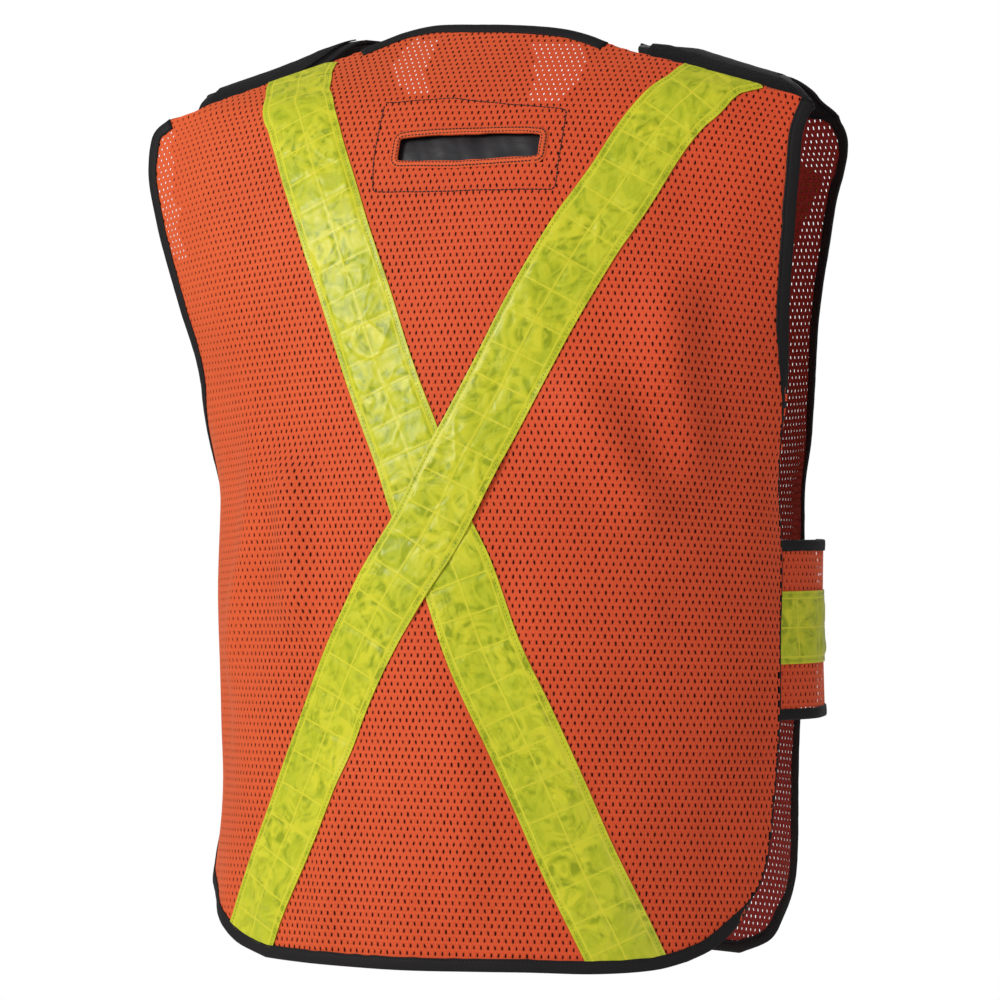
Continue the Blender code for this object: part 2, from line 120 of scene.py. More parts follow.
TAPE_OVER = [(54, .621), (47, .6185), (42, .6145), (37.5, .6085), (33.8, .599), (31, .5845), (28.6, .5655), (26.3, .541), (24.2, .522), (22, .504),
             (17, .456), (11.7, .408), (6.3, .360), (0, .309), (-5.5, .275), (-11.2, .240), (-17.8, .192),
             (-23.4, .1425), (-29.2, .093), (-36, .042), (-38.3, .022), (-41.5, -.004)]
TAPE_UNDER = [(-47, .6355), (-38.5, .6265), (-31, .6145), (-26.2, .6015), (-23.8, .585), (-21.8, .567), (-19.8, .544), (-17.2, .508), (-13.5, .458),
              (-10.5, .4095), (-5, .357), (0, .309), (5, .272), (10.4, .2175), (16.5, .170),
              (22.3, .1225), (28, .075), (34.5, .0275), (36.3, .014), (39.5, -.010)]


# how far the shoulder ends of the fronts lie inside or outside the body form, by height
SAG_RIGHT = [(.500, 0), (.530, -.001), (.555, -.004), (.575, -.008), (.590, -.010), (.602, -.0115), (.612, -.0105),
             (.622, -.0085), (.632, -.0065), (.642, -.0048), (.650, -.0050), (.656, -.0090), (.662, -.0145),
             (.668, -.0165), (.700, -.0170)]
SAG_LEFT = [(.500, 0), (.612, 0), (.620, .0003), (.629, .0012), (.6366, .0026), (.6477, .0052), (.654, .0050),
            (.658, .0028), (.6625, -.0025), (.667, -.0080), (.700, -.0085)]


# --------------------------------------------------------------- body surface
def slopes(xs, ys):
    h = np.diff(xs)[:, None]
    d = np.diff(ys, axis=0) / h
    m = np.zeros_like(ys)
    m[0], m[-1] = d[0], d[-1]
    for k in range(1, len(xs) - 1):
        same = d[k - 1] * d[k] > 0
        w1, w2 = 2 * h[k] + h[k - 1], h[k] + 2 * h[k - 1]
        with np.errstate(divide="ignore", invalid="ignore"):
            hm = (w1 + w2) / (w1 / d[k - 1] + w2 / d[k])
        m[k] = np.where(same, hm, 0.0)
    return m


FX, FY = FORM[:, 0], FORM[:, 1:]
FM = slopes(FX, FY)


def form(t, z):
    """Points of the body form at angles (degrees) and heights."""
    t, z = np.broadcast_arrays(np.asarray(t, float), np.asarray(z, float))
    i = np.clip(np.searchsorted(FX, z) - 1, 0, len(FX) - 2)
    h = (FX[i + 1] - FX[i])
    s = np.clip((z - FX[i]) / h, 0, 1)[..., None]
    h = h[..., None]
    v = ((2 * s ** 3 - 3 * s ** 2 + 1) * FY[i] + (s ** 3 - 2 * s ** 2 + s) * h * FM[i]
         + (-2 * s ** 3 + 3 * s ** 2) * FY[i + 1] + (s ** 3 - s ** 2) * h * FM[i + 1])
    r = np.radians(t)
    a, yb, yf, xc = v[..., 0], v[..., 1], v[..., 2], v[..., 3]
    return np.stack([-a * np.sin(r) - xc, (yb + yf) / 2 + (yb - yf) / 2 * np.cos(r), z - SHOULDER_LEVEL], -1)


def unit(v):
    return v / np.maximum(np.linalg.norm(v, axis=-1, keepdims=True), 1e-12)


def dot(a, b):
    return (a * b).sum(-1)


def normal(t, z):
    du = form(t + 0.5, z) - form(t - 0.5, z)
    dv = form(t, z + 0.001) - form(t, z - 0.001)
    n = unit(np.cross(dv, du))
    p = form(t, z)
    ref = p.copy()
    ref[..., 0] = 0
    ref[..., 1] = 0.015
    ref[..., 2] = np.where(np.asarray(z) > 0.6, -0.25, p[..., 2])
    return np.where((dot(n, p - ref) > 0)[..., None], n, -n)


def smooth(x, a, b):
    s = np.clip((x - a) / (b - a), 0, 1)
    return s * s * (3 - 2 * s)


TABLE = np.random.RandomState(11).rand(64, 64)


def noise(x, y, seed=0):
    """Smooth noise from -1 to 1."""
    x, y = np.broadcast_arrays(np.asarray(x, float) + seed * 7.31, np.asarray(y, float) + seed * 3.77)
    xi, yi = np.floor(x).astype(int), np.floor(y).astype(int)
    fx, fy = x - xi, y - yi
    fx, fy = fx * fx * fx * (fx * (fx * 6 - 15) + 10), fy * fy * fy * (fy * (fy * 6 - 15) + 10)

    def g(i, j):
        return TABLE[i % 64, j % 64]
    v = (g(xi, yi) * (1 - fx) * (1 - fy) + g(xi + 1, yi) * fx * (1 - fy)
         + g(xi, yi + 1) * (1 - fx) * fy + g(xi + 1, yi + 1) * fx * fy)
    return v * 2 - 1


def fold(t, z, path, width, height):
    """Soft ridge of cloth along a line of (angle, height) points, fading at its ends."""
    p = np.array(path, float)
    q = np.stack([np.asarray(t, float) * 0.0031, np.asarray(z, float)], -1)
    p = p * np.array([0.0031, 1.0])
    best = np.full(q.shape[:-1], 1e9)
    where = np.zeros(q.shape[:-1])
    length = np.concatenate([[0], np.cumsum(np.linalg.norm(np.diff(p, axis=0), axis=1))])
    for k in range(len(p) - 1):
        d = p[k + 1] - p[k]
        s = np.clip(((q - p[k]) @ d) / (d @ d), 0, 1)
        r = np.linalg.norm(q - (p[k] + s[..., None] * d), axis=-1)
        near = r < best
        best = np.where(near, r, best)
        where = np.where(near, (length[k] + s * np.linalg.norm(d)) / length[-1], where)
    return height * np.exp(-(best / width) ** 2) * smooth(where, 0, 0.25) * smooth(1 - where, 0, 0.25)


def drape(t, z):
    """How far the hanging cloth stands off the body form: folds and slow waves."""
    t, z = np.asarray(t, float), np.asarray(z, float)
    s = t * 0.0031
    low = smooth(0.30 - z, 0, 0.25)
    f = 0.0028 * noise(s / 0.055, z / 0.16, 1) + 0.0013 * noise(s / 0.028, z / 0.07, 2)
    f = f + low * 0.0050 * noise(s / 0.050 + 0.3, z / 0.5, 3)
    f = f * smooth(0.635 - z, 0, 0.05) * (1 - smooth(np.abs(t), 138, 160))
    f = f + 0.0018 * noise(z / 0.11, 0.5, 8) * smooth(np.abs(t), 138, 160) * smooth(0.50 - z, 0, 0.06)
    f = f + fold(t, z, [(-33, .37), (-30, .30), (-29, .22)], .014, .0100)
    f = f + fold(t, z, [(-38, .39), (-45, .28), (-58, .17)], .018, .0070)
    f = f + fold(t, z, [(20, .42), (32, .36), (46, .29)], .018, .0085)
    f = f + fold(t, z, [(34, .50), (42, .40), (54, .32)], .017, .0080)
    f = f + fold(t, z, [(6, .20), (8, .10), (7, .01)], .014, .0050)
    f = f + fold(t, z, [(-16, .16), (-19, .08), (-20, .00)], .012, .0045)
    f = f - 0.0095 * smooth(-t, 42, 66) * (1 - smooth(-t, 84, 98)) * smooth(0.30 - z, 0, 0.20)
    # the left tab's hinge line stays where the tab turns
    return f * (1 - 0.95 * np.exp(-((-t - STRAP_TO) / 12.0) ** 4) * np.exp(-((z - 0.234) / 0.085) ** 4))


def at(t, z, off):
    return form(t, z) + normal(t, z) * (np.asarray(off, float) + drape(t, z))[..., None]


def step(t, z, vec):
    """Angle and height steps that move along the form by a vector."""
    du = form(t + 0.5, z) - form(t - 0.5, z)
    dv = (form(t, z + 0.001) - form(t, z - 0.001)) / 0.002
    a, b, c = dot(du, du), dot(du, dv), dot(dv, dv)
    p, q = dot(du, vec), dot(dv, vec)
    det = a * c - b * b
    return (c * p - b * q) / det, (a * q - b * p) / det


def march(t, z, direction, length, size=0.003):
    """Walk straight over the form, as flat cloth lies; returns angles and heights at each step."""
    count = int(math.ceil(length / size))
    t, z, d = np.array(t, float), np.array(z, float), unit(np.array(direction, float))
    ts, zs, ds = [t], [z], [d]
    for _ in range(count):
        a, b = step(t, z, d * size / 2)
        n = normal(t + a, z + b)
        mid = unit(d - n * dot(d, n)[..., None])
        a, b = step(t + a, z + b, mid * size)
        t, z = t + a, z + b
        n = normal(t, z)
        d = unit(mid - n * dot(mid, n)[..., None])
        ts.append(t)
        zs.append(z)
        ds.append(d)
    return np.array(ts), np.array(zs), np.array(ds)


class Cloth:
    """Flat cloth laid on the form: (across, along) in metres to (angle, height)."""
    SIZE = 0.003

    def __init__(self, t0, z0, along, across):
        up = unit(form(t0, z0 + 0.001) - form(t0, z0 - 0.001))
        ts, zs, ds = march(np.array([t0]), np.array([z0]), up[None], along, self.SIZE)
        ts, zs, ds = ts[:, 0], zs[:, 0], ds[:, 0]
        n = normal(ts, zs)
        side = unit(np.cross(n, ds))
        plus = march(ts, zs, side, across, self.SIZE)
        minus = march(ts, zs, -side, across, self.SIZE)
        self.t = np.concatenate([minus[0][:0:-1], plus[0]]).T
        self.z = np.concatenate([minus[1][:0:-1], plus[1]]).T
        self.zero = len(minus[0]) - 1

    def __call__(self, s, v):
        s, v = np.broadcast_arrays(np.asarray(s, float), np.asarray(v, float))
        x = np.clip(s / self.SIZE + self.zero, 0, self.t.shape[1] - 1.001)
        y = np.clip(v / self.SIZE, 0, self.t.shape[0] - 1.001)
        i, j = x.astype(int), y.astype(int)
        fx, fy = x - i, y - j
        out = []
        for a in (self.t, self.z):
            out.append(a[j, i] * (1 - fx) * (1 - fy) + a[j, i + 1] * fx * (1 - fy)
                       + a[j + 1, i] * (1 - fx) * fy + a[j + 1, i + 1] * fx * fy)
        return out


class Curve:
    """Smooth curve through (angle, height) points, read by arc length from 0 to 1."""

    def __init__(self, points, samples=1200):
        p = np.array(points, float)
        q = np.vstack([2 * p[0] - p[1], p, 2 * p[-1] - p[-2]])
        out = []
        for i in range(len(p) - 1):
            a, b, c, d = q[i:i + 4]
            s = np.linspace(0, 1, max(samples // (len(p) - 1), 4), endpoint=False)[:, None]
            out.append(0.5 * ((2 * b) + (c - a) * s + (2 * a - 5 * b + 4 * c - d) * s ** 2
                              + (3 * b - a - 3 * c + d) * s ** 3))
        out.append(p[-1:])
        self.p = np.vstack(out)
        xyz = form(self.p[:, 0], self.p[:, 1])
        self.length = np.concatenate([[0], np.cumsum(np.linalg.norm(np.diff(xyz, axis=0), axis=1))])
        self.total = self.length[-1]

    def __call__(self, s):
        w = np.asarray(s, float) * self.total
        return np.stack([np.interp(w, self.length, self.p[:, 0]), np.interp(w, self.length, self.p[:, 1])], -1)


def mirror(points):
    return [(-t, z) for t, z in points]


class Ribbon:
    """Band of cloth laid flat along a curve: (along, across) in metres to (angle, height)."""
    ALONG, ACROSS = 0.001, 0.002

    def __init__(self, curve, width):
        n = int(curve.total / self.ALONG) + 1
        base = curve(np.linspace(0, 1, n))
        xyz = form(base[:, 0], base[:, 1])
        k = np.arange(n)
        tan = unit(xyz[np.minimum(k + 3, n - 1)] - xyz[np.maximum(k - 3, 0)])
        ker = np.exp(-(np.arange(-12, 13) / 6.0) ** 2)
        ker /= ker.sum()
        pad = np.vstack([np.repeat(tan[:1], 12, 0), tan, np.repeat(tan[-1:], 12, 0)])
        tan = unit(np.stack([np.convolve(pad[:, c], ker, "valid") for c in range(3)], -1))
        nn = normal(base[:, 0], base[:, 1])
        side = unit(np.cross(nn, tan))
        plus = march(base[:, 0], base[:, 1], side, width / 2 + 0.004, self.ACROSS)
        minus = march(base[:, 0], base[:, 1], -side, width / 2 + 0.004, self.ACROSS)
        self.t = np.concatenate([minus[0][:0:-1], plus[0]]).T
        self.z = np.concatenate([minus[1][:0:-1], plus[1]]).T
        self.zero = len(minus[0]) - 1
        self.total = curve.total

    def __call__(self, l, w):
        l, w = np.broadcast_arrays(np.asarray(l, float), np.asarray(w, float))
        x = np.clip(w / self.ACROSS + self.zero, 0, self.t.shape[1] - 1.001)
        y = np.clip(l / self.total * (self.t.shape[0] - 1), 0, self.t.shape[0] - 1.001)
        i, j = x.astype(int), y.astype(int)
        fx, fy = x - i, y - j
        out = []
        for a in (self.t, self.z):
            out.append(a[j, i] * (1 - fx) * (1 - fy) + a[j, i + 1] * fx * (1 - fy)
                       + a[j + 1, i] * (1 - fx) * fy + a[j + 1, i + 1] * fx * fy)
        return out


def chain(curves, size=0.003, closed=False):
    """Evenly spaced points along curves end to end, with the in-surface direction to the left."""
    pts = []
    for c, backwards in curves:
        n = max(int(c.total / 0.001), 3)
        s = np.linspace(1, 0, n) if backwards else np.linspace(0, 1, n)
        pts.append(c(s))
    pts = np.vstack(pts)
    xyz = form(pts[:, 0], pts[:, 1])
    keep = np.concatenate([[True], np.linalg.norm(np.diff(xyz, axis=0), axis=1) > 1e-5])
    pts, xyz = pts[keep], xyz[keep]
    length = np.concatenate([[0], np.cumsum(np.linalg.norm(np.diff(xyz, axis=0), axis=1))])
    n = int(round(length[-1] / size))
    w = np.linspace(0, length[-1], n + 1)
    p = np.stack([np.interp(w, length, pts[:, 0]), np.interp(w, length, pts[:, 1])], -1)
    return p, side_of(p, closed), w


def side_of(p, closed=False):
    xyz = form(p[:, 0], p[:, 1])
    if closed:
        tan = unit(np.roll(xyz, -2, 0) - np.roll(xyz, 2, 0))
    else:
        k = np.arange(len(p))
        tan = unit(xyz[np.minimum(k + 2, len(p) - 1)] - xyz[np.maximum(k - 2, 0)])
    return unit(np.cross(normal(p[:, 0], p[:, 1]), tan))


def moved(p, side, width):
    """Points moved along the surface to the left by a width."""
    width = np.broadcast_to(np.asarray(width, float), p.shape[:-1])
    count = max(int(math.ceil(np.abs(width).max() / 0.002)), 1)
    t, z, d = p[..., 0].copy(), p[..., 1].copy(), np.array(side, float)
    part_step = (width / count)[..., None]
    for _ in range(count):
        a, b = step(t, z, d * part_step)
        t, z = t + a, z + b
        n = normal(t, z)
        d = d - n * dot(d, n)[..., None]
        d = unit(d) * np.linalg.norm(side, axis=-1, keepdims=True)
    return np.stack([t, z], -1)


def inside(t, z, poly):
    t, z = np.asarray(t, float), np.asarray(z, float)
    shape = t.shape
    t, z = t.ravel(), z.ravel()
    hit = np.zeros(len(t), bool)
    a, b = poly, np.roll(poly, -1, 0)
    for (x0, y0), (x1, y1) in zip(a, b):
        if y0 == y1:
            continue
        cross = (y0 > z) != (y1 > z)
        hit ^= cross & (t < (x1 - x0) * (z - y0) / (y1 - y0) + x0)
    return hit.reshape(shape)


def tree_of(points):
    tree = KDTree(len(points))
    for i, p in enumerate(points):
        tree.insert(p, i)
    tree.balance()
    return tree


def near(points, tree):
    """Distance and index of the nearest point in the tree."""
    out = [tree.find(p) for p in points]
    return np.array([o[2] for o in out]), np.array([o[1] for o in out])


# -------------------------------------------------------------- mesh pieces
class Part:
    """Vertices, faces, a cloth coordinate and a rim value, gathered for one piece."""

    def __init__(self):
        self.v, self.f, self.m, self.uv, self.rim, self.n = [], [], [], [], [], 0

    def add(self, verts, faces, mat=0, uv=None, rim=None):
        verts = np.asarray(verts, float).reshape(-1, 3)
        self.v.append(verts)
        self.uv.append(np.zeros((len(verts), 2)) if uv is None else np.asarray(uv, float).reshape(-1, 2))
        self.rim.append(np.zeros(len(verts)) if rim is None else np.asarray(rim, float).ravel())
        for f in faces:
            f = np.asarray(f, int)
            if len(f):
                self.f.append(f + self.n)
                self.m.append(np.full(len(f), mat))
        self.n += len(verts)

    def build(self, name, mats, nodes=()):
        me = bpy.data.meshes.new(name)
        verts = np.vstack(self.v)
        counts = np.concatenate([np.full(len(f), f.shape[1]) for f in self.f])
        loops = np.concatenate([f.ravel() for f in self.f])
        me.vertices.add(len(verts))
        me.vertices.foreach_set("co", verts.astype(np.float32).ravel())
        me.loops.add(len(loops))
        me.loops.foreach_set("vertex_index", loops.astype(np.int32))
        me.polygons.add(len(counts))
        me.polygons.foreach_set("loop_start", np.concatenate([[0], np.cumsum(counts)[:-1]]).astype(np.int32))
        me.polygons.foreach_set("material_index", np.concatenate(self.m).astype(np.int32))
        me.polygons.foreach_set("use_smooth", np.ones(len(counts), bool))
        uv = np.vstack(self.uv)[loops]
        layer = me.uv_layers.new(name="cloth")
        me.update(calc_edges=True)
        me.uv_layers["cloth"].data.foreach_set("uv", uv.astype(np.float32).ravel())
        rim = me.attributes.new("rim", "FLOAT", "POINT")
        rim.data.foreach_set("value", np.concatenate(self.rim).astype(np.float32))
        ob = bpy.data.objects.new(name, me)
        bpy.context.scene.collection.objects.link(ob)
        for m in mats:
            me.materials.append(m)
        if nodes:
            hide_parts(*nodes)
        return ob


def grid_faces(nr, nc, wrap=False, flip=False):
    j, i = np.meshgrid(np.arange(nr - 1), np.arange(nc if wrap else nc - 1), indexing="ij")
    k = (i + 1) % nc
    f = np.stack([j * nc + i, j * nc + k, (j + 1) * nc + k, (j + 1) * nc + i], -1).reshape(-1, 4)
    return f[:, ::-1] if flip else f


def bounded(curves):
    """Closed outline polygon from curves end to end."""
    pts = []
    for c, backwards in curves:
        n = max(int(c.total / 0.004), 3)
        s = np.linspace(1, 0, n, endpoint=False) if backwards else np.linspace(0, 1, n, endpoint=False)
        pts.append(c(s))
    return np.vstack(pts)


def knit(part, cloth, poly, bound, free, reach, off, lift=None, leave_out=None, clear=0.0036, shade=None, mat=0,
         seed=5, small=1.0):
    """Open knitted mesh: a staggered field of upright holes inside an outline.
    bound: outline stretches hidden by a binding, free: stretches the cloth's own edge follows."""
    rng = np.random.RandomState(seed)
    (s0, s1), (v0, v1) = reach
    nj, ni = int((v1 - v0) / HOLE_ROWS) + 1, int((s1 - s0) / HOLE_ACROSS) + 1
    jj, ii = np.meshgrid(np.arange(nj), np.arange(ni), indexing="ij")
    xi, yi = 2 * ii + jj % 2, 2 * jj + 1
    s = s0 + xi * HOLE_ACROSS / 2
    v = v0 + yi * HOLE_ROWS / 2
    t, z = cloth(s, v)
    ok = inside(t, z, poly)
    xi, yi, t, z, s, v = (a[ok] for a in (xi, yi, t, z, s, v))
    here = form(t, z)
    if bound is not None and len(bound):
        d, _ = near(here, tree_of(bound))
        ok = d > clear
        xi, yi, t, z, s, v, here = (a[ok] for a in (xi, yi, t, z, s, v, here))
    if leave_out is not None:
        ok = ~leave_out(here)
        xi, yi, t, z, s, v, here = (a[ok] for a in (xi, yi, t, z, s, v, here))
    ring = np.array([(-1, -1), (0, -1), (1, -1), (1, 0), (1, 1), (0, 1), (-1, 1), (-1, 0)])
    hole = np.array([(0, -1.72), (.67, -.86), (.67, .86), (0, 1.72), (-.67, .86), (-.67, -.86)]) * 0.001
    n = len(xi)
    ox = xi[:, None] + ring[:, 0]
    oy = yi[:, None] + ring[:, 1]
    key = (ox * 100003 + oy).ravel()
    uniq, first, back = np.unique(key, return_index=True, return_inverse=True)
    us = s0 + ox.ravel()[first] * HOLE_ACROSS / 2
    uvv = v0 + oy.ravel()[first] * HOLE_ROWS / 2
    ut, uz = cloth(us, uvv)
    if free is not None and len(free):
        out = ~inside(ut, uz, poly)
        k = np.where(out)[0]
        if len(k):
            edge = form(free[:, 0], free[:, 1])
            d, w = near(form(ut[k], uz[k]), tree_of(edge))
            fix = d < 0.005
            ut[k[fix]], uz[k[fix]] = free[w[fix], 0], free[w[fix], 1]
    lo = lift(ut, uz) if lift is not None else 0.0
    outer = at(ut, uz, off + lo)
    o = back.reshape(n, 8)
    flat = form(ut, uz)
    stray = (np.linalg.norm(flat[o] - here[:, None], axis=-1) > 0.0058).any(1)
    t0, z0 = t, z
    xi, yi, s, v, here, o, n = xi[~stray], yi[~stray], s[~stray], v[~stray], here[~stray], o[~stray], int((~stray).sum())
    size = small * (1 + 0.07 * rng.randn(n, 1))
    if shade is not None:
        narrow = 0.90 - 0.34 * smooth(-t0[~stray], 30, 58)
        size = size * np.where(shade(t0[~stray], z0[~stray]), narrow, 0.62)[:, None]
    lean = 0.10 * rng.randn(n, 1)
    hx = hole[:, 0] * size + hole[:, 1] * lean
    hy = hole[:, 1] * size * (1 + 0.05 * rng.randn(n, 1))
    hs, hv = s[:, None] + hx, v[:, None] + hy
    ht, hz = cloth(hs, hv)
    lo = lift(ht, hz) if lift is not None else 0.0
    inner = at(ht, hz, off + lo - 0.00028).reshape(-1, 3)
    no = len(uniq)
    h = no + np.arange(n * 6).reshape(n, 6)
    quads = np.vstack([np.stack([o[:, a], o[:, b], h[:, c], h[:, d]], -1)
                       for a, b, c, d in ((1, 2, 1, 0), (4, 5, 3, 2), (5, 6, 4, 3), (0, 1, 0, 5))])
    tris = np.vstack([np.stack([o[:, 2], o[:, 3], h[:, 1]], -1), np.stack([o[:, 3], h[:, 2], h[:, 1]], -1),
                      np.stack([o[:, 3], o[:, 4], h[:, 2]], -1), np.stack([o[:, 6], o[:, 7], h[:, 4]], -1),
                      np.stack([o[:, 7], h[:, 5], h[:, 4]], -1), np.stack([o[:, 7], o[:, 0], h[:, 5]], -1)])
    every = np.vstack([outer, inner])
    uv = np.vstack([np.stack([us, uvv], -1), np.stack([hs.ravel(), hv.ravel()], -1)])
    rim = np.concatenate([np.zeros(no), np.ones(n * 6)])
    used = np.zeros(len(every), bool)
    used[quads.ravel()] = True
    used[tris.ravel()] = True
    new = np.cumsum(used) - 1
    part.add(every[used], [new[quads], new[tris]], mat, uv=uv[used], rim=rim[used])
    # dark cups of painted shade fill the holes wherever shade() is true
    if shade is not None:
        dark = shade(t0[~stray], z0[~stray])
        shade_cup = inner.reshape(n, 6, 3)[dark]
        part.add(shade_cup.reshape(-1, 3), [np.arange(len(shade_cup) * 6).reshape(-1, 6)], mat + 1,
                 uv=uv[no:].reshape(n, 6, 2)[dark].reshape(-1, 2), rim=np.ones(len(shade_cup) * 6))
    return n


def stitches(part, p3, n3, pitch, mat, length=0.62, width=0.00042, height=0.00028, lift=0.0):
    """Row of thread stitches along a 3-D line with surface normals."""
    seg = np.linalg.norm(np.diff(p3, axis=0), axis=1)
    run = np.concatenate([[0], np.cumsum(seg)])
    count = int(run[-1] / pitch)
    if count < 1:
        return
    a = (np.arange(count) + 0.5 - length / 2) * pitch
    b = a + length * pitch

    def read(w, arr):
        return np.stack([np.interp(w, run, arr[:, k]) for k in range(3)], -1)
    A, B = read(a, p3), read(b, p3)
    N = unit(read((a + b) / 2, n3))
    T = unit(B - A)
    S = np.cross(N, T)
    A, B = A + N * lift, B + N * lift
    rows = [A - N * 0.0001]
    for f in (0.25, 0.75):
        c = A + (B - A) * f
        rows += [c - S * width / 2 - N * 0.0001, c + N * height, c + S * width / 2 - N * 0.0001]
    rows.append(B - N * 0.0001)
    v = np.stack(rows, 1)
    base = np.arange(count)[:, None] * 8
    tri = np.vstack([base + np.array([q]) for q in ((0, 1, 2), (0, 2, 3), (7, 5, 4), (7, 6, 5), (0, 3, 1), (7, 4, 6))])
    quad = np.vstack([base + np.array([q]) for q in ((1, 4, 5, 2), (2, 5, 6, 3), (3, 6, 4, 1))])
    uv = np.repeat(np.stack([a, b], -1)[:, :1] * [[1, 0]], 8, 0)
    part.add(v.reshape(-1, 3), [tri, quad], mat, uv=uv)


def binding(part, p, side, run, mid, lift=None, width=BIND_WIDTH, closed=False, seed=1, thick=0.00125, thread=1,
            under=0.0):
    """Folded woven tape round a cloth edge, with its two rows of stitches."""
    w = width + 0.00035 * noise(run / 0.007, seed, seed)
    h = thick + 0.00012 * noise(run / 0.005, seed + 3, seed)
    section = [(1.0, .55), (.97, .86), (.86, .97), (.84, .72), (.80, .97), (.55, 1.06), (.30, 1.06), (.12, .95), (.03, .62),
               (0, 0), (.03, -.62), (.12, -.95), (.30, -1.06), (.55, -1.06), (.80, -.97), (.84, -.72), (.86, -.97), (.97, -.86),
               (1.0, -.55)]
    lo = lift(p[:, 0], p[:, 1]) if lift is not None else 0.0
    rows, uv = [], []
    for a, b in section:
        q = moved(p, side, a * w * (1 - under) - b * h * under)
        rows.append(at(q[:, 0], q[:, 1], mid + b * h * (1 - under) - (1 - a) * w * under + lo))
        uv.append(np.stack([run, np.full(len(run), a * width * (1 if b >= 0 else -1))], -1))
    rows = np.stack(rows, 1)
    nr, nc = rows.shape[:2]
    faces = [grid_faces(nr, nc, wrap=True)]
    if not closed:
        faces.append(np.array([list(range(nc))[::-1]]))
        faces.append(np.array([[(nr - 1) * nc + i for i in range(nc)]]))
    part.add(rows.reshape(-1, 3), faces, 0, uv=np.stack(uv, 1).reshape(-1, 2))
    for sgn in (1, -1):
        q = moved(p, side, 0.84 * w * (1 - under) - sgn * 0.78 * h * under)
        line = at(q[:, 0], q[:, 1], mid + sgn * 0.78 * h * (1 - under) - 0.16 * w * under + lo)
        stitches(part, line, normal(q[:, 0], q[:, 1]) * sgn, 0.0030, thread, width=0.00050, height=0.00034)


def tape_relief(l, w, seed, half=TAPE_WIDTH / 2, square=0.0245):
    """Welded lattice, pillows and creases of the vinyl tape."""
    margin = half - 0.0048
    aw = np.abs(w)

    def ridge(d, k=0.00070):
        return np.exp(-(d / k) ** 2)
    cross = np.abs((l / square + 0.37 * seed) % 1.0 - 0.5) * square
    cross = square / 2 - cross
    cross = np.minimum(cross, np.abs((l / square + 0.37 * seed) % 1.0) * square)
    cross = np.minimum(cross, np.abs(1 - (l / square + 0.37 * seed) % 1.0) * square)
    lines = np.maximum(np.maximum(ridge(aw), ridge(aw - margin)), ridge(cross) * (aw < margin))
    lines = np.maximum(lines, 0.75 * ridge(aw - half + 0.0004))
    body = smooth(margin - aw, 0, 0.0022)
    cell = smooth(cross, 0, 0.0045) * smooth(aw, 0, 0.0045)
    n = 0.60 * noise(l / 0.017, w / 0.012, seed) + 0.22 * noise(l / 0.008, w / 0.008, seed + 1)
    a = 0.6
    u1, u2 = l * math.cos(a) + w * math.sin(a), -l * math.sin(a) + w * math.cos(a)
    creases = 1 - np.abs(noise(u1 / 0.022, u2 / 0.010, seed + 2)) * 3.0
    u1, u2 = l * math.cos(a) - w * math.sin(a), l * math.sin(a) + w * math.cos(a)
    creases2 = 1 - np.abs(noise(u1 / 0.026, u2 / 0.012, seed + 4)) * 3.0
    creases = smooth(creases, 0, 1) + smooth(creases2, 0, 1)
    where = smooth(noise(l / 0.05, w / 0.04, seed + 6), -0.3, 0.5)
    pucker = np.exp(-((margin - aw) / 0.005) ** 2) * noise(l / 0.0055, seed, seed + 5)
    relief = body * (0.00065 * n + 0.00034 * creases * (0.3 + 0.7 * where) + 0.00050 * cell + 0.00025 * pucker)
    return relief + 0.00030 * lines * smooth(half - aw, 0, 0.001), lines


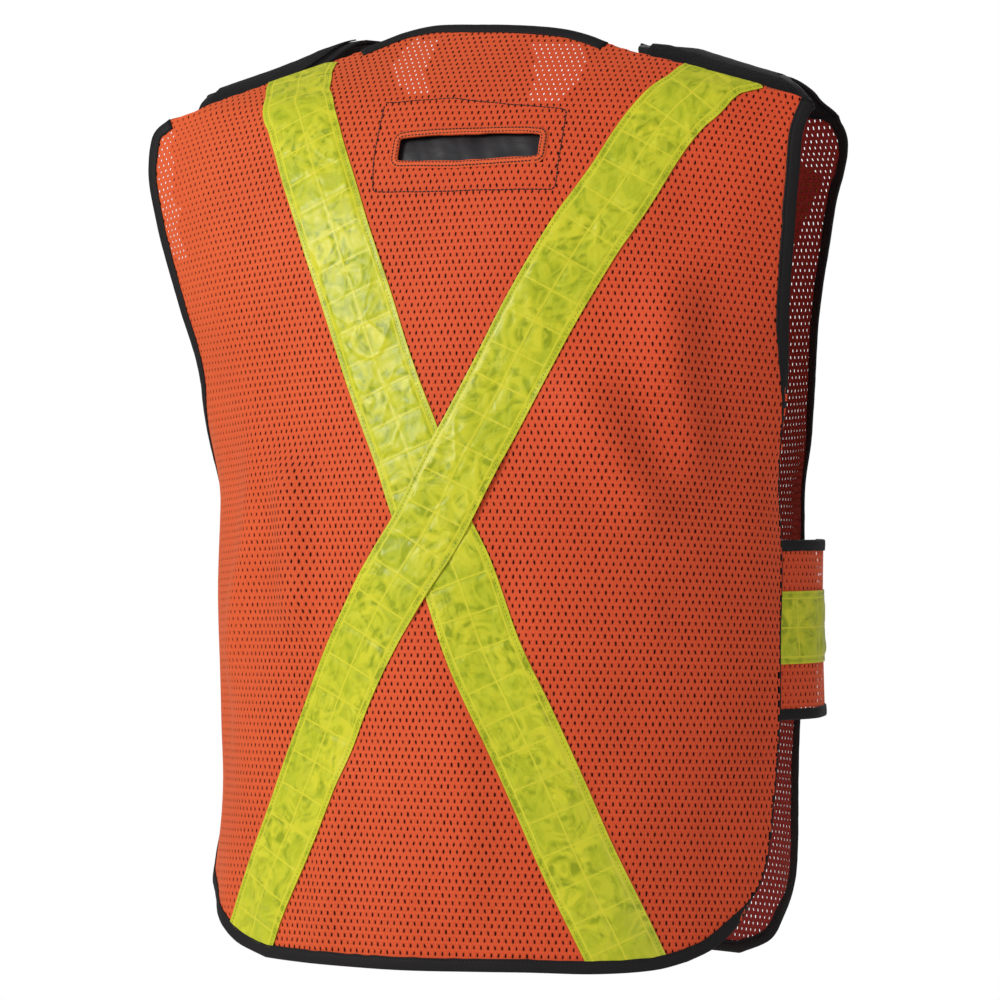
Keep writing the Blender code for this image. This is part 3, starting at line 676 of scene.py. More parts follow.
def tape(part, curve, ends, off, extra=None, seed=1, poly=None, trims=(0.0, 0.0), fine=0.00098, lift=None, width=TAPE_WIDTH,
         thread=1):
    """Reflective tape along a curve, cut to an outline at its ends, sewn along both margins."""
    nw = int(round(width / fine / 2)) * 2 + 1
    ws = np.linspace(-width / 2, width / 2, nw)
    band = Ribbon(curve, width)
    total = band.total
    run = np.linspace(ends[0] * total, ends[1] * total, int(total / 0.0008) + 1)
    lo, hi = np.full(nw, run[0]), np.full(nw, run[-1])
    if poly is not None:
        ok = inside(*band(run[:, None], ws[None]), poly)
        mid = len(run) // 2
        for k in range(nw):
            out = np.where(~ok[:mid, k])[0]
            if len(out):
                lo[k] = run[out[-1] + 1]
            out = np.where(~ok[mid:, k])[0]
            if len(out):
                hi[k] = run[mid + out[0] - 1]
        ker = np.ones(5) / 5
        lo = np.convolve(np.pad(lo, 2, mode="edge"), ker, "valid")
        hi = np.convolve(np.pad(hi, 2, mode="edge"), ker, "valid")
    lo, hi = lo + trims[0], hi - trims[1]
    nl = int((hi - lo).mean() / fine) + 1
    fr = np.linspace(0, 1, nl)[:, None]
    L = lo[None] + (hi - lo)[None] * fr
    W = np.broadcast_to(ws[None], L.shape)
    t, z = band(L, W)
    relief, lines = tape_relief(L, W, seed, width / 2)
    relief = relief * smooth(np.minimum(L - lo[None], hi[None] - L), 0.006, 0.020)
    more = (extra(t, z) if extra is not None else 0.0) + (lift(t, z) if lift is not None else 0.0)
    top = at(t, z, off + 0.0005 + relief + more)
    uv = np.stack([L, W], -1)
    part.add(top.reshape(-1, 3), [grid_faces(nl, nw)], 0, uv=uv, rim=lines)
    # under side and edges
    cols = np.unique(np.linspace(0, nw - 1, 7).round().astype(int))
    bottom = at(t, z, off + more)[:, cols]
    part.add(bottom.reshape(-1, 3), [grid_faces(nl, len(cols), flip=True)], 0, uv=uv[:, cols])
    for col in (0, nw - 1):
        e = np.stack([top[:, col], at(t, z, off + more)[:, col]], 1)
        part.add(e.reshape(-1, 3), [grid_faces(nl, 2, flip=col == 0)], 0,
                 uv=np.stack([uv[:, col], uv[:, col]], 1))
    for row in (0, nl - 1):
        e = np.stack([top[row], at(t, z, off + more)[row]], 0)
        part.add(e.reshape(-1, 3), [grid_faces(2, nw, flip=row == 0)], 0, uv=np.stack([uv[row], uv[row]], 0))
    for sgn in (-1, 1):
        wv = sgn * (width / 2 - 0.0024)
        c = 2 if sgn < 0 else nw - 3
        l = np.arange(lo[c] + 0.001, hi[c] - 0.001, 0.0015)
        a, b = band(l, wv)
        m2 = (extra(a, b) if extra is not None else 0.0) + (lift(a, b) if lift is not None else 0.0)
        line = at(a, b, off + 0.0005 + m2)
        stitches(part, line, normal(a, b), 0.0029, thread, width=0.00048, height=0.00030)
    return (nl, nw)


def panel_grid(rows_t, rows_z):
    return np.asarray(rows_t, float), np.asarray(rows_z, float)


def slab(part, t, z, lo, hi, mat=0, lift=None, uvs=None, relief=None, edge=0.0):
    """Closed sheet from a grid of angles and heights, between two offsets, with straight side walls."""
    nr, nc = t.shape
    more = lift(t, z) if lift is not None else 0.0
    top_off = np.full(t.shape, hi, float)
    if relief is not None:
        top_off = top_off + relief
    a = at(t, z, top_off + more)
    b = at(t, z, lo + more + (relief if relief is not None else 0.0) * 0.6)
    if uvs is None:
        base = form(t, z)
        du = np.concatenate([np.zeros((nr, 1)), np.cumsum(np.linalg.norm(np.diff(base, axis=1), axis=-1), axis=1)], 1)
        dv = np.concatenate([np.zeros((1, nc)), np.cumsum(np.linalg.norm(np.diff(base, axis=0), axis=-1), axis=0)], 0)
        uvs = np.stack([du, dv], -1)
    n = nr * nc
    idx = np.arange(n).reshape(nr, nc)
    ring = np.concatenate([idx[0], idx[1:, -1], idx[-1, :-1][::-1], idx[1:-1, 0][::-1]])
    nxt = np.roll(ring, -1)
    faces = [grid_faces(nr, nc), grid_faces(nr, nc, flip=True) + n,
             np.stack([nxt, ring, ring + n, nxt + n], -1)]
    part.add(np.vstack([a.reshape(-1, 3), b.reshape(-1, 3)]), faces, mat, uv=np.vstack([uvs.reshape(-1, 2)] * 2))


def fixed_normals(ob):
    """Faces outward on closed shells."""
    bpy.ops.object.select_all(action="DESELECT")
    bpy.context.view_layer.objects.active = ob
    ob.select_set(True)
    bpy.ops.object.mode_set(mode="EDIT")
    bpy.ops.mesh.select_all(action="SELECT")
    bpy.ops.mesh.normals_make_consistent(inside=False)
    bpy.ops.object.mode_set(mode="OBJECT")
    ob.select_set(False)


# ----------------------------------------------------------------- materials
class Nodes:
    def __init__(self, name):
        self.mat = bpy.data.materials.new(name)
        self.mat.use_nodes = True
        self.nt = self.mat.node_tree
        self.bsdf = self.nt.nodes["Principled BSDF"]

    def node(self, kind, **values):
        n = self.nt.nodes.new(kind)
        for k, v in values.items():
            if hasattr(n, k):
                setattr(n, k, v)
        return n

    def link(self, a, b):
        self.nt.links.new(a, b)

    def put(self, n, **values):
        for k, v in values.items():
            n.inputs[k.replace("_", " ")].default_value = v

    def cloth(self, sx=1.0, sy=1.0, turn=0.0):
        uv = self.node("ShaderNodeUVMap", uv_map="cloth")
        m = self.node("ShaderNodeMapping")
        m.inputs["Scale"].default_value = (sx, sy, 1)
        m.inputs["Rotation"].default_value = (0, 0, turn)
        self.link(uv.outputs[0], m.inputs[0])
        return m.outputs[0]

    def place(self, scale=1.0):
        c = self.node("ShaderNodeTexCoord")
        m = self.node("ShaderNodeMapping")
        m.inputs["Scale"].default_value = (scale,) * 3
        self.link(c.outputs["Object"], m.inputs[0])
        return m.outputs[0]

    def noise(self, vec, scale, detail=2.0, rough=0.5, swirl=0.0):
        n = self.node("ShaderNodeTexNoise")
        n.inputs["Distortion"].default_value = swirl
        n.inputs["Scale"].default_value = scale
        n.inputs["Detail"].default_value = detail
        n.inputs["Roughness"].default_value = rough
        self.link(vec, n.inputs["Vector"])
        return n.outputs[0]

    def wave(self, vec, scale, distortion=0.0, direction="X"):
        n = self.node("ShaderNodeTexWave", bands_direction=direction)
        n.inputs["Scale"].default_value = scale
        n.inputs["Distortion"].default_value = distortion
        self.link(vec, n.inputs["Vector"])
        return n.outputs["Fac"]

    def maths(self, op, a, b):
        n = self.node("ShaderNodeMath", operation=op)
        for k, x in enumerate((a, b)):
            if isinstance(x, (int, float)):
                n.inputs[k].default_value = x
            else:
                self.link(x, n.inputs[k])
        return n.outputs[0]

    def ramp(self, fac, stops):
        n = self.node("ShaderNodeValToRGB")
        el = n.color_ramp.elements
        while len(el) < len(stops):
            el.new(0.5)
        for e, (pos, col) in zip(el, stops):
            e.position = pos
            e.color = (*col, 1) if len(col) == 3 else col
        self.link(fac, n.inputs[0])
        return n.outputs[0]

    def mix(self, fac, a, b, blend="MIX"):
        n = self.node("ShaderNodeMix", data_type="RGBA", blend_type=blend)
        for k, x in ((0, fac), (6, a), (7, b)):
            if isinstance(x, (int, float)):
                n.inputs[k].default_value = x
            elif isinstance(x, tuple):
                n.inputs[k].default_value = (*x, 1)
            else:
                self.link(x, n.inputs[k])
        return n.outputs[2]

    def attribute(self, name):
        n = self.node("ShaderNodeAttribute", attribute_name=name)
        return n.outputs["Fac"]

    def bump(self, height, strength, distance, before=None):
        n = self.node("ShaderNodeBump")
        n.inputs["Strength"].default_value = strength
        n.inputs["Distance"].default_value = distance
        self.link(height, n.inputs["Height"])
        if before is not None:
            self.link(before, n.inputs["Normal"])
        return n.outputs[0]

    def finish(self, colour=None, rough=None, normal=None):
        if colour is not None:
            self.link(colour, self.bsdf.inputs["Base Color"])
        if rough is not None:
            self.link(rough, self.bsdf.inputs["Roughness"])
        if normal is not None:
            self.link(normal, self.bsdf.inputs["Normal"])
        return self.mat


def mesh_material(name, tint=(0.76, 0.082, 0.019)):
    k = Nodes(name)
    rim = k.attribute("rim")
    slow = k.noise(k.place(), 14.0, 3.0)
    fine = k.noise(k.place(), 900.0, 2.0)
    ribs = k.wave(k.cloth(), 420.0 / 6.2832 * 2.2, 1.2)
    loops = k.wave(k.cloth(), 340.0 / 6.2832 * 2.4, 1.0, "Y")
    yarn = k.maths("MULTIPLY", ribs, loops)
    r, g, b = tint
    # painted light: lighter, yellower orange toward +X and redder, darker orange toward -X, standing in for the key
    # light falling from one side
    shade_side_tint = k.mix(slow, (r * 0.90, g * 0.70, b * 0.8), (min(r * 1.08, 1), g * 1.00, b * 1.2))
    lit_side_tint = k.mix(slow, (r * 0.90, g * 1.02, b * 0.9), (min(r * 1.08, 1), g * 1.42, b * 1.4))
    apart = k.node("ShaderNodeSeparateXYZ")
    k.link(k.place(), apart.inputs[0])
    across = k.ramp(k.maths("ADD", k.maths("MULTIPLY", apart.outputs["X"], 2.4), 0.5), [(0.0, (0, 0, 0)), (1.0, (1, 1, 1))])
    colour = k.mix(across, shade_side_tint, lit_side_tint)
    colour = k.mix(k.maths("MULTIPLY", yarn, 0.45), colour, (min(r * 1.15, 1), g * 1.9, b * 2.4))
    # painted shade: darker toward each hole's edge, in the dimple round the hole
    colour = k.mix(k.maths("MULTIPLY", k.maths("POWER", rim, 3.0), 0.45), colour, (r * 0.45, g * 0.30, b * 0.4))
    height = k.maths("ADD", k.maths("MULTIPLY", yarn, 0.5), k.maths("MULTIPLY", fine, 0.5))
    rough = k.ramp(fine, [(0.0, (0.62,) * 3), (1.0, (0.82,) * 3)])
    n = k.bump(height, 0.5, 0.00022)
    k.bsdf.inputs["Sheen Weight"].default_value = 0.28
    k.bsdf.inputs["Sheen Roughness"].default_value = 0.5
    k.bsdf.inputs["Sheen Tint"].default_value = (1.0, 0.42, 0.22, 1)
    k.bsdf.inputs["Specular IOR Level"].default_value = 0.28
    return k.finish(colour, rough, n)


def solid_knit(name):
    k = Nodes(name)
    ribs = k.wave(k.cloth(), 150.0, 1.0)
    rows = k.wave(k.cloth(), 120.0, 1.0, "Y")
    yarn = k.maths("MULTIPLY", ribs, rows)
    slow = k.noise(k.place(), 60.0, 3.0)
    colour = k.mix(slow, (0.68, 0.075, 0.018), (0.84, 0.125, 0.032))
    colour = k.mix(k.maths("MULTIPLY", yarn, 0.5), colour, (0.90, 0.19, 0.06))
    rough = k.ramp(slow, [(0.0, (0.65,) * 3), (1.0, (0.8,) * 3)])
    n = k.bump(yarn, 0.6, 0.0002)
    k.bsdf.inputs["Specular IOR Level"].default_value = 0.28
    return k.finish(colour, rough, n)


# painted shade: near-black fill for the holes, standing in for the shaded inside of the vest
def hole_shade_paint_material(name):
    k = Nodes(name)
    fine = k.noise(k.place(), 260.0, 2.0)
    colour = k.mix(fine, (0.012, 0.0035, 0.003), (0.050, 0.009, 0.006))
    rough = k.ramp(fine, [(0.0, (0.85,) * 3), (1.0, (0.95,) * 3)])
    k.bsdf.inputs["Specular IOR Level"].default_value = 0.05
    return k.finish(colour, rough)


def binding_material(name):
    k = Nodes(name)
    a = k.wave(k.cloth(turn=0.9), 230.0, 0.6)
    b = k.wave(k.cloth(turn=-0.9), 230.0, 0.6)
    weave = k.maths("MAXIMUM", a, b)
    slow = k.noise(k.place(), 45.0, 3.0)
    colour = k.mix(slow, (0.0045, 0.0036, 0.0042), (0.009, 0.0074, 0.0082))
    colour = k.mix(k.maths("MULTIPLY", weave, 0.35), colour, (0.018, 0.0155, 0.0165))
    rough = k.ramp(slow, [(0.0, (0.55,) * 3), (1.0, (0.75,) * 3)])
    n = k.bump(weave, 0.55, 0.00025)
    k.bsdf.inputs["Specular IOR Level"].default_value = 0.25
    return k.finish(colour, rough, n)


def nylon_material(name, shine=0.36):
    k = Nodes(name)
    a = k.wave(k.cloth(), 260.0, 0.3)
    b = k.wave(k.cloth(), 260.0, 0.3, "Y")
    weave = k.maths("MULTIPLY", a, b)
    slow = k.noise(k.place(), 35.0, 3.0)
    colour = k.mix(slow, (0.010, 0.009, 0.011), (0.020, 0.018, 0.021))
    rough = k.ramp(slow, [(0.0, (shine - 0.06,) * 3), (1.0, (shine + 0.12,) * 3)])
    n = k.bump(k.noise(k.place(), 70.0, 2.0), 0.5, 0.0010)
    n = k.bump(weave, 0.25, 0.00012, n)
    return k.finish(colour, rough, n)


def hook_material(name, loops=False):
    k = Nodes(name)
    tufts = k.noise(k.cloth(), 620.0 if loops else 900.0, 3.0, 0.65)
    v = k.node("ShaderNodeTexVoronoi")
    v.inputs["Scale"].default_value = 480.0
    k.link(k.cloth(), v.inputs["Vector"])
    dots = k.maths("SUBTRACT", 1.0, v.outputs["Distance"])
    height = tufts if loops else dots
    colour = k.mix(tufts, (0.004, 0.004, 0.0045), (0.020, 0.018, 0.019))
    rough = k.ramp(tufts, [(0.0, (0.75,) * 3), (1.0, (0.95,) * 3)])
    n = k.bump(height, 0.9, 0.0008)
    k.bsdf.inputs["Sheen Weight"].default_value = 0.04 if loops else 0.01
    k.bsdf.inputs["Specular IOR Level"].default_value = 0.15
    return k.finish(colour, rough, n)


def tape_material(name, deep=1.0):
    k = Nodes(name)
    rim = k.attribute("rim")
    swirl = k.noise(k.cloth(), 44.0, 1.2, 0.45, 2.6)
    slow = k.noise(k.cloth(), 26.0, 2.0, 0.5)
    flow = k.noise(k.cloth(sx=1.0, sy=1.6, turn=0.6), 85.0, 0.5, 0.5, 1.8)
    # painted reflection: the lighter yellow and darker green patches stand in for reflections off the prismatic tape,
    # with painted shade along its creases
    base = k.ramp(swirl, [(0.36, (0.34 * deep, 0.40 * deep, 0.012)), (0.44, (0.52 * deep, 0.55 * deep, 0.020)),
                          (0.52, (0.56 * deep, 0.58 * deep, 0.022)), (0.60, (0.72 * deep, 0.69 * deep, 0.034))])
    base = k.mix(k.ramp(flow, [(0.50, (0, 0, 0)), (0.58, (0.55, 0.55, 0.55))]), base, (0.69 * deep, 0.69 * deep, 0.035))
    base = k.mix(k.ramp(slow, [(0.40, (0, 0, 0)), (0.62, (0.5, 0.5, 0.5))]), base, (0.45 * deep, 0.53 * deep, 0.018))
    colour = k.mix(k.ramp(rim, [(0.25, (0, 0, 0)), (0.75, (0.95, 0.95, 0.95))]), base, (0.74 * deep, 0.70 * deep, 0.040))
    v = k.node("ShaderNodeTexVoronoi", feature="DISTANCE_TO_EDGE")
    v.inputs["Scale"].default_value = 1300.0
    k.link(k.cloth(), v.inputs["Vector"])
    n = k.bump(v.outputs["Distance"], 0.15, 0.00008)
    n = k.bump(swirl, 0.45, 0.0012, n)
    rough = k.ramp(flow, [(0.3, (0.32,) * 3), (0.8, (0.48,) * 3)])
    k.bsdf.inputs["Specular IOR Level"].default_value = 0.22
    k.bsdf.inputs["Coat Weight"].default_value = 0.06
    k.bsdf.inputs["Coat Roughness"].default_value = 0.15
    return k.finish(colour, rough, n)


def thread_material(name, dark, light):
    k = Nodes(name)
    w = k.wave(k.cloth(), 700.0, 0.5)
    s = k.noise(k.place(), 400.0, 2.0)
    colour = k.mix(s, dark, light)
    n = k.bump(w, 0.4, 0.0001)
    rough = k.ramp(s, [(0.0, (0.45,) * 3), (1.0, (0.7,) * 3)])
    return k.finish(colour, rough, n)


ORANGE = mesh_material("orange_mesh")
FOLDED = solid_knit("orange_folded")
# darker copy of the mesh material: painted shade for the inside face of the fronts
INNER_PAINTED_SHADE = mesh_material("orange_mesh_inner_painted_shade", (0.34, 0.020, 0.016))
HOLE_SHADE_PAINT = hole_shade_paint_material("hole_shade")
BLACK = binding_material("black_binding")
NYLON = nylon_material("black_nylon")
HOOK = hook_material("hook_strip")
LOOP = hook_material("loop_strip", loops=True)
VINYL = tape_material("lime_vinyl")
THREAD_BLACK = thread_material("thread_black", (0.008, 0.007, 0.008), (0.035, 0.03, 0.032))
THREAD_LIME = thread_material("thread_lime", (0.09, 0.15, 0.006), (0.24, 0.34, 0.014))
THREAD_ORANGE = thread_material("thread_orange", (0.55, 0.06, 0.015), (0.85, 0.14, 0.04))

# ---------------------------------------------------------------- back panel
back_left, back_right = Curve(BACK_LEFT), Curve(BACK_RIGHT)
back_hem, back_top = Curve(BACK_HEM), Curve(BACK_TOP)
back_poly = bounded([(back_hem, False), (back_right, False), (back_top, True), (back_left, True)])
NECK = (-39.5, 32.0)        # angles between which the neck binding covers the top edge

slot_c = form(*SLOT_CENTRE)
slot_n = normal(*SLOT_CENTRE)
slot_x = unit(np.cross(np.array([0, 0, 1.0]), slot_n))
slot_y = np.cross(slot_n, slot_x)


def slot_local(p):
    d = p - slot_c
    return dot(d, slot_x), dot(d, slot_y)


def bowed(x):
    return SLOT_BOW * np.clip(1 - (2 * x / SLOT_WIDTH) ** 2, 0, 1)


def in_slot(grow):
    def f(p):
        x, y = slot_local(p)
        return (np.abs(x) < SLOT_WIDTH / 2 + grow) & (np.abs(y) < SLOT_HEIGHT / 2 + bowed(x) + grow)
    return f


cloth_back = Cloth(0.0, -0.004, 0.80, 0.36)
edge_p, edge_side, edge_run = chain([(back_left, True), (back_hem, False), (back_right, False)])
neck_p, neck_side, neck_run = chain([(back_top, False)])
neck_from, neck_to = (int(np.searchsorted(neck_p[:, 0], a)) for a in NECK)
dense, dense_side, _ = chain([(back_left, True), (back_hem, False), (back_right, False)], 0.0012)
dense_neck, _, _ = chain([(back_top, False)], 0.0012)
na, nb = (int(np.searchsorted(dense_neck[:, 0], a)) for a in NECK)


def turned(p):
    """Share by which the edge binding turns under the panel along the right side."""
    return smooth(p[:, 0], 44, 62) * smooth(p[:, 1], 0.022, 0.060) * smooth(0.455 - p[:, 1], 0, 0.140)


hid = turned(dense) > 0.80
inset = 0.0019 * smooth(turned(dense), 0.70, 0.90)
trimmed = moved(dense, dense_side, inset)
mesh_poly = np.vstack([trimmed, dense_neck[::-1]])
bound = np.vstack([form(dense[~hid, 0], dense[~hid, 1]), form(dense_neck[na:nb, 0], dense_neck[na:nb, 1])])
free = np.vstack([dense_neck[:na + 4], dense_neck[nb - 4:], trimmed[hid]])



def see_through(t, z):
    """Where the holes stay open to what lies behind: by the left armhole and beside the neck; the other holes of the
    back get dark cups of painted shade.
    """
    arm = (t < -52.5 + 2.0 * noise(z / 0.012, 0.5, 31)) & (z > 0.500) & (z < 0.594)
    f = np.clip((z - 0.606) / 0.040, 0, 1.1)
    a = (np.abs(t + 6.5 + 13.5 * f) < 1.6 + 3.4 * f) & (z > 0.606) & (z < 0.652)
    g = np.clip((z - 0.600) / 0.040, 0, 1.1)
    b = (np.abs(t - 12.2 - 5.5 * g) < 2.4 + 3.8 * g) & (z > 0.600) & (z < 0.645)
    return arm | a | b


part = Part()
# holes outside see_through() are closed with dark cups of painted shade
knit(part, cloth_back, mesh_poly, bound, free, ((-0.35, 0.35), (0.0, 0.78)), BACK_MID, leave_out=in_slot(0.0030),
     shade=lambda t, z: ~see_through(t, z))
# folded-under hem along both shoulder edges
for a, b in ((0, neck_from + 3), (neck_to - 3, len(neck_p))):
    p, sd = neck_p[a:b], neck_side[a:b]
    q = moved(p, sd, np.full(len(p), -0.0075))
    t = np.stack([p[:, 0], (p[:, 0] + q[:, 0]) / 2, q[:, 0]], 1)
    z = np.stack([p[:, 1], (p[:, 1] + q[:, 1]) / 2, q[:, 1]], 1)
    slab(part, t, z, BACK_MID - 0.0011, BACK_MID - 0.0004, mat=2)
back_cloth = part.build("vest_back_mesh", [ORANGE, HOLE_SHADE_PAINT, FOLDED], ["back_panel"])
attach(back_cloth, "back")

part = Part()
binding(part, edge_p, edge_side, edge_run, BACK_MID, seed=1, under=0.80 * turned(edge_p))
ob = part.build("vest_back_edge_binding", [BLACK, THREAD_BLACK], ["back_edge_binding"])
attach(ob, "back")
part = Part()
binding(part, neck_p[neck_from:neck_to + 1], -neck_side[neck_from:neck_to + 1], neck_run[neck_from:neck_to + 1],
        BACK_MID, seed=2)
ob = part.build("vest_back_neck_binding", [BLACK, THREAD_BLACK], ["back_neck_binding"])
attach(ob, "back")


# --------------------------------------------------------- X of tape
def over_bump(t, z):
    d = np.hypot((t + 0.4) * 0.003, z - 0.310)
    return 0.0016 * smooth(0.075 - d, 0.0, 0.025)


for name, curve, node, seed, extra, off in (
        ("vest_back_tape_under", TAPE_UNDER, "back_tape_under", 3, None, BACK_MID + 0.0003),
        ("vest_back_tape_over", TAPE_OVER, "back_tape_over", 8, over_bump, BACK_MID + 0.0004)):
    part = Part()
    tape(part, Curve(curve), (0.0, 1.0), off, extra, seed, back_poly, (0.0, 0.004))
    ob = part.build(name, [VINYL, THREAD_LIME], [node])
    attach(ob, "back")


# -------------------------------------------------------------- harness slot
def flat_to_form(x, y):
    """Points of the slot's own plane, pushed on to the form."""
    x, y = np.asarray(x, float), np.asarray(y, float)
    t = np.full(x.shape, float(SLOT_CENTRE[0]))
    z = np.full(x.shape, float(SLOT_CENTRE[1]))
    goal = slot_c + x[..., None] * slot_x + y[..., None] * slot_y
    for _ in range(8):
        e = goal - form(t, z)
        e = e - slot_n * dot(e, slot_n)[..., None]
        a, b = step(t, z, e)
        t, z = t + a, z + b
    return t, z


def rounded(w, h, r, n=6, spacing=0.002):
    """Closed rounded rectangle, anticlockwise, with outward directions."""
    pts, outs = [], []
    for cx, cy, a0 in ((w / 2 - r, -h / 2 + r, -90), (w / 2 - r, h / 2 - r, 0), (-w / 2 + r, h / 2 - r, 90),
                       (-w / 2 + r, -h / 2 + r, 180)):
        for a in np.radians(np.linspace(a0, a0 + 90, n)):
            pts.append((cx + r * math.cos(a), cy + r * math.sin(a)))
            outs.append((math.cos(a), math.sin(a)))
    pts, outs = np.array(pts), np.array(outs)
    p2, o2 = [], []
    for k in range(len(pts)):
        a, b = pts[k], pts[(k + 1) % len(pts)]
        m = max(int(np.linalg.norm(b - a) / spacing), 1)
        for s in np.linspace(0, 1, m, endpoint=False):
            p2.append(a + (b - a) * s)
            o2.append(outs[k] + (outs[(k + 1) % len(pts)] - outs[k]) * s)
    return np.array(p2), unit(np.array(o2))


part = Part()
ring, outw = rounded(SLOT_WIDTH, SLOT_HEIGHT, 0.0018)
ring[:, 1] += np.sign(ring[:, 1]) * bowed(ring[:, 0])
wob = 0.0003 * noise(np.arange(len(ring)) / 5.0, 2.0, 4)
rows, uv = [], []
run = np.concatenate([[0], np.cumsum(np.linalg.norm(np.diff(ring, axis=0), axis=1))])
for a, b in ((0.0058, .0001), (0.0050, .0007), (0.0030, .0010), (0.0014, .0011), (0.0004, .0009), (0.0, .0003),
             (0.0, -.0006), (0.0008, -.0012), (0.0042, -.0012)):
    q = ring + outw * (a + wob[:, None])
    t, z = flat_to_form(q[:, 0], q[:, 1])
    rows.append(at(t, z, BACK_MID + b))
    uv.append(np.stack([run, np.full(len(run), a + b)], -1))
rows, uv = np.stack(rows, 1), np.stack(uv, 1)
nr, nc = rows.shape[:2]
faces = grid_faces(nr, nc)
last = np.stack([(nr - 1) * nc + np.arange(nc - 1), (nr - 1) * nc + 1 + np.arange(nc - 1), 1 + np.arange(nc - 1),
                 np.arange(nc - 1)], -1)
part.add(rows.reshape(-1, 3), [faces, last], 0, uv=uv.reshape(-1, 2))
for grow in (0.0013, 0.0042):
    q = np.vstack([ring, ring[:1]]) + np.vstack([outw, outw[:1]]) * grow
    q = q + 0.00025 * np.stack([noise(np.arange(len(q)) / 3.0, 1.0, 6), noise(np.arange(len(q)) / 3.0, 1.0, 7)], -1)
    t, z = flat_to_form(q[:, 0], q[:, 1])
    stitches(part, at(t, z, BACK_MID + 0.0010), normal(t, z), 0.0026, 1, length=0.88, width=0.00115, height=0.0005)
welt = part.build("vest_slot_welt", [FOLDED, THREAD_BLACK], ["slot_welt"])
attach(welt, "back")

PATCH_LINE = [(-11.5, .6012), (-0.6, .6030), (16.0, .5925), (16.4, .5355), (-11.2, .5380)]
part = Part()
corner = np.array(PATCH_LINE, float)
line = []
for k in range(len(corner)):
    a, b = corner[k], corner[(k + 1) % len(corner)]
    m = max(int(np.linalg.norm(form(*b) - form(*a)) / 0.0015), 2)
    f = np.linspace(0, 1, m, endpoint=False)[:, None]
    line.append(a + (b - a) * f)
line = np.vstack(line + [corner[:1]])
kk = np.arange(len(line))
line = line + np.stack([0.10 * noise(kk / 9.0, 0.5, 9), 0.0003 * noise(kk / 8.0, 0.5, 10)], -1)
# ease the corners
for _ in range(3):
    line[1:-1] = (line[:-2] + 2 * line[1:-1] + line[2:]) / 4
stitches(part, at(line[:, 0], line[:, 1], BACK_MID + 0.00015), normal(line[:, 0], line[:, 1]), 0.0031, 1,
         length=0.97, width=0.00105, height=0.00045)
t, z = flat_to_form(*np.meshgrid(np.linspace(-0.062, 0.062, 90), np.linspace(-0.031, 0.033, 46)))
x, y = slot_local(form(t, z))
inside_slot = (np.abs(x) < SLOT_WIDTH / 2 + 0.0008) & (np.abs(y) < SLOT_HEIGHT / 2 + bowed(x) + 0.0008)
g = grid_faces(*t.shape)
bad = inside_slot.ravel()[g].any(1)
top = at(t, z, BACK_MID - 0.0013)
low = at(t, z, BACK_MID - 0.0018)
n = t.size
uv = np.stack([x, y], -1).reshape(-1, 2)
part.add(np.vstack([top.reshape(-1, 3), low.reshape(-1, 3)]), [g[~bad], (g[~bad] + n)[:, ::-1]], 0,
         uv=np.vstack([uv, uv]))
facing = part.build("vest_slot_facing", [NYLON, THREAD_BLACK], ["slot_facing"])
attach(facing, "back")

part = Part()
fx, fy = np.meshgrid(np.linspace(-0.056, 0.056, 80), np.linspace(-0.0285, 0.0275, 44))
t, z = flat_to_form(fx, fy)
wave = -0.0006 + 0.0007 * noise(fx / 0.022, fy / 0.02, 12) + 0.0004 * noise(fx / 0.009 + fy / 0.02, fy / 0.03, 13)
wave = wave * smooth(0.0275 - fy, 0, 0.012)
slab(part, t, z, BACK_MID - 0.0042, BACK_MID - 0.0036, mat=0, uvs=np.stack([fx, fy], -1), relief=np.minimum(wave, 0.0008))
for yy in (-0.026,):
    q = np.linspace(-0.053, 0.053, 60)
    t, z = flat_to_form(q, np.full(60, yy))
    stitches(part, at(t, z, BACK_MID - 0.0038 - 0.0004), normal(t, z), 0.0028, 1)
flap = part.build("vest_slot_flap", [NYLON, THREAD_BLACK], ["slot_flap"])
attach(flap, "slot_flap")


# ------------------------------------------------- front panels and side parts
def closure_lift(lift, sag):
    table = np.array(sag)

    def f(t, z):
        return lift * smooth(np.abs(t), 158.0, 173.0) + np.interp(z, table[:, 0], table[:, 1])
    return f


def rect(t0, t1, z0, z1, nu, nv):
    return np.meshgrid(np.linspace(t0, t1, nu), np.linspace(z0, z1, nv))


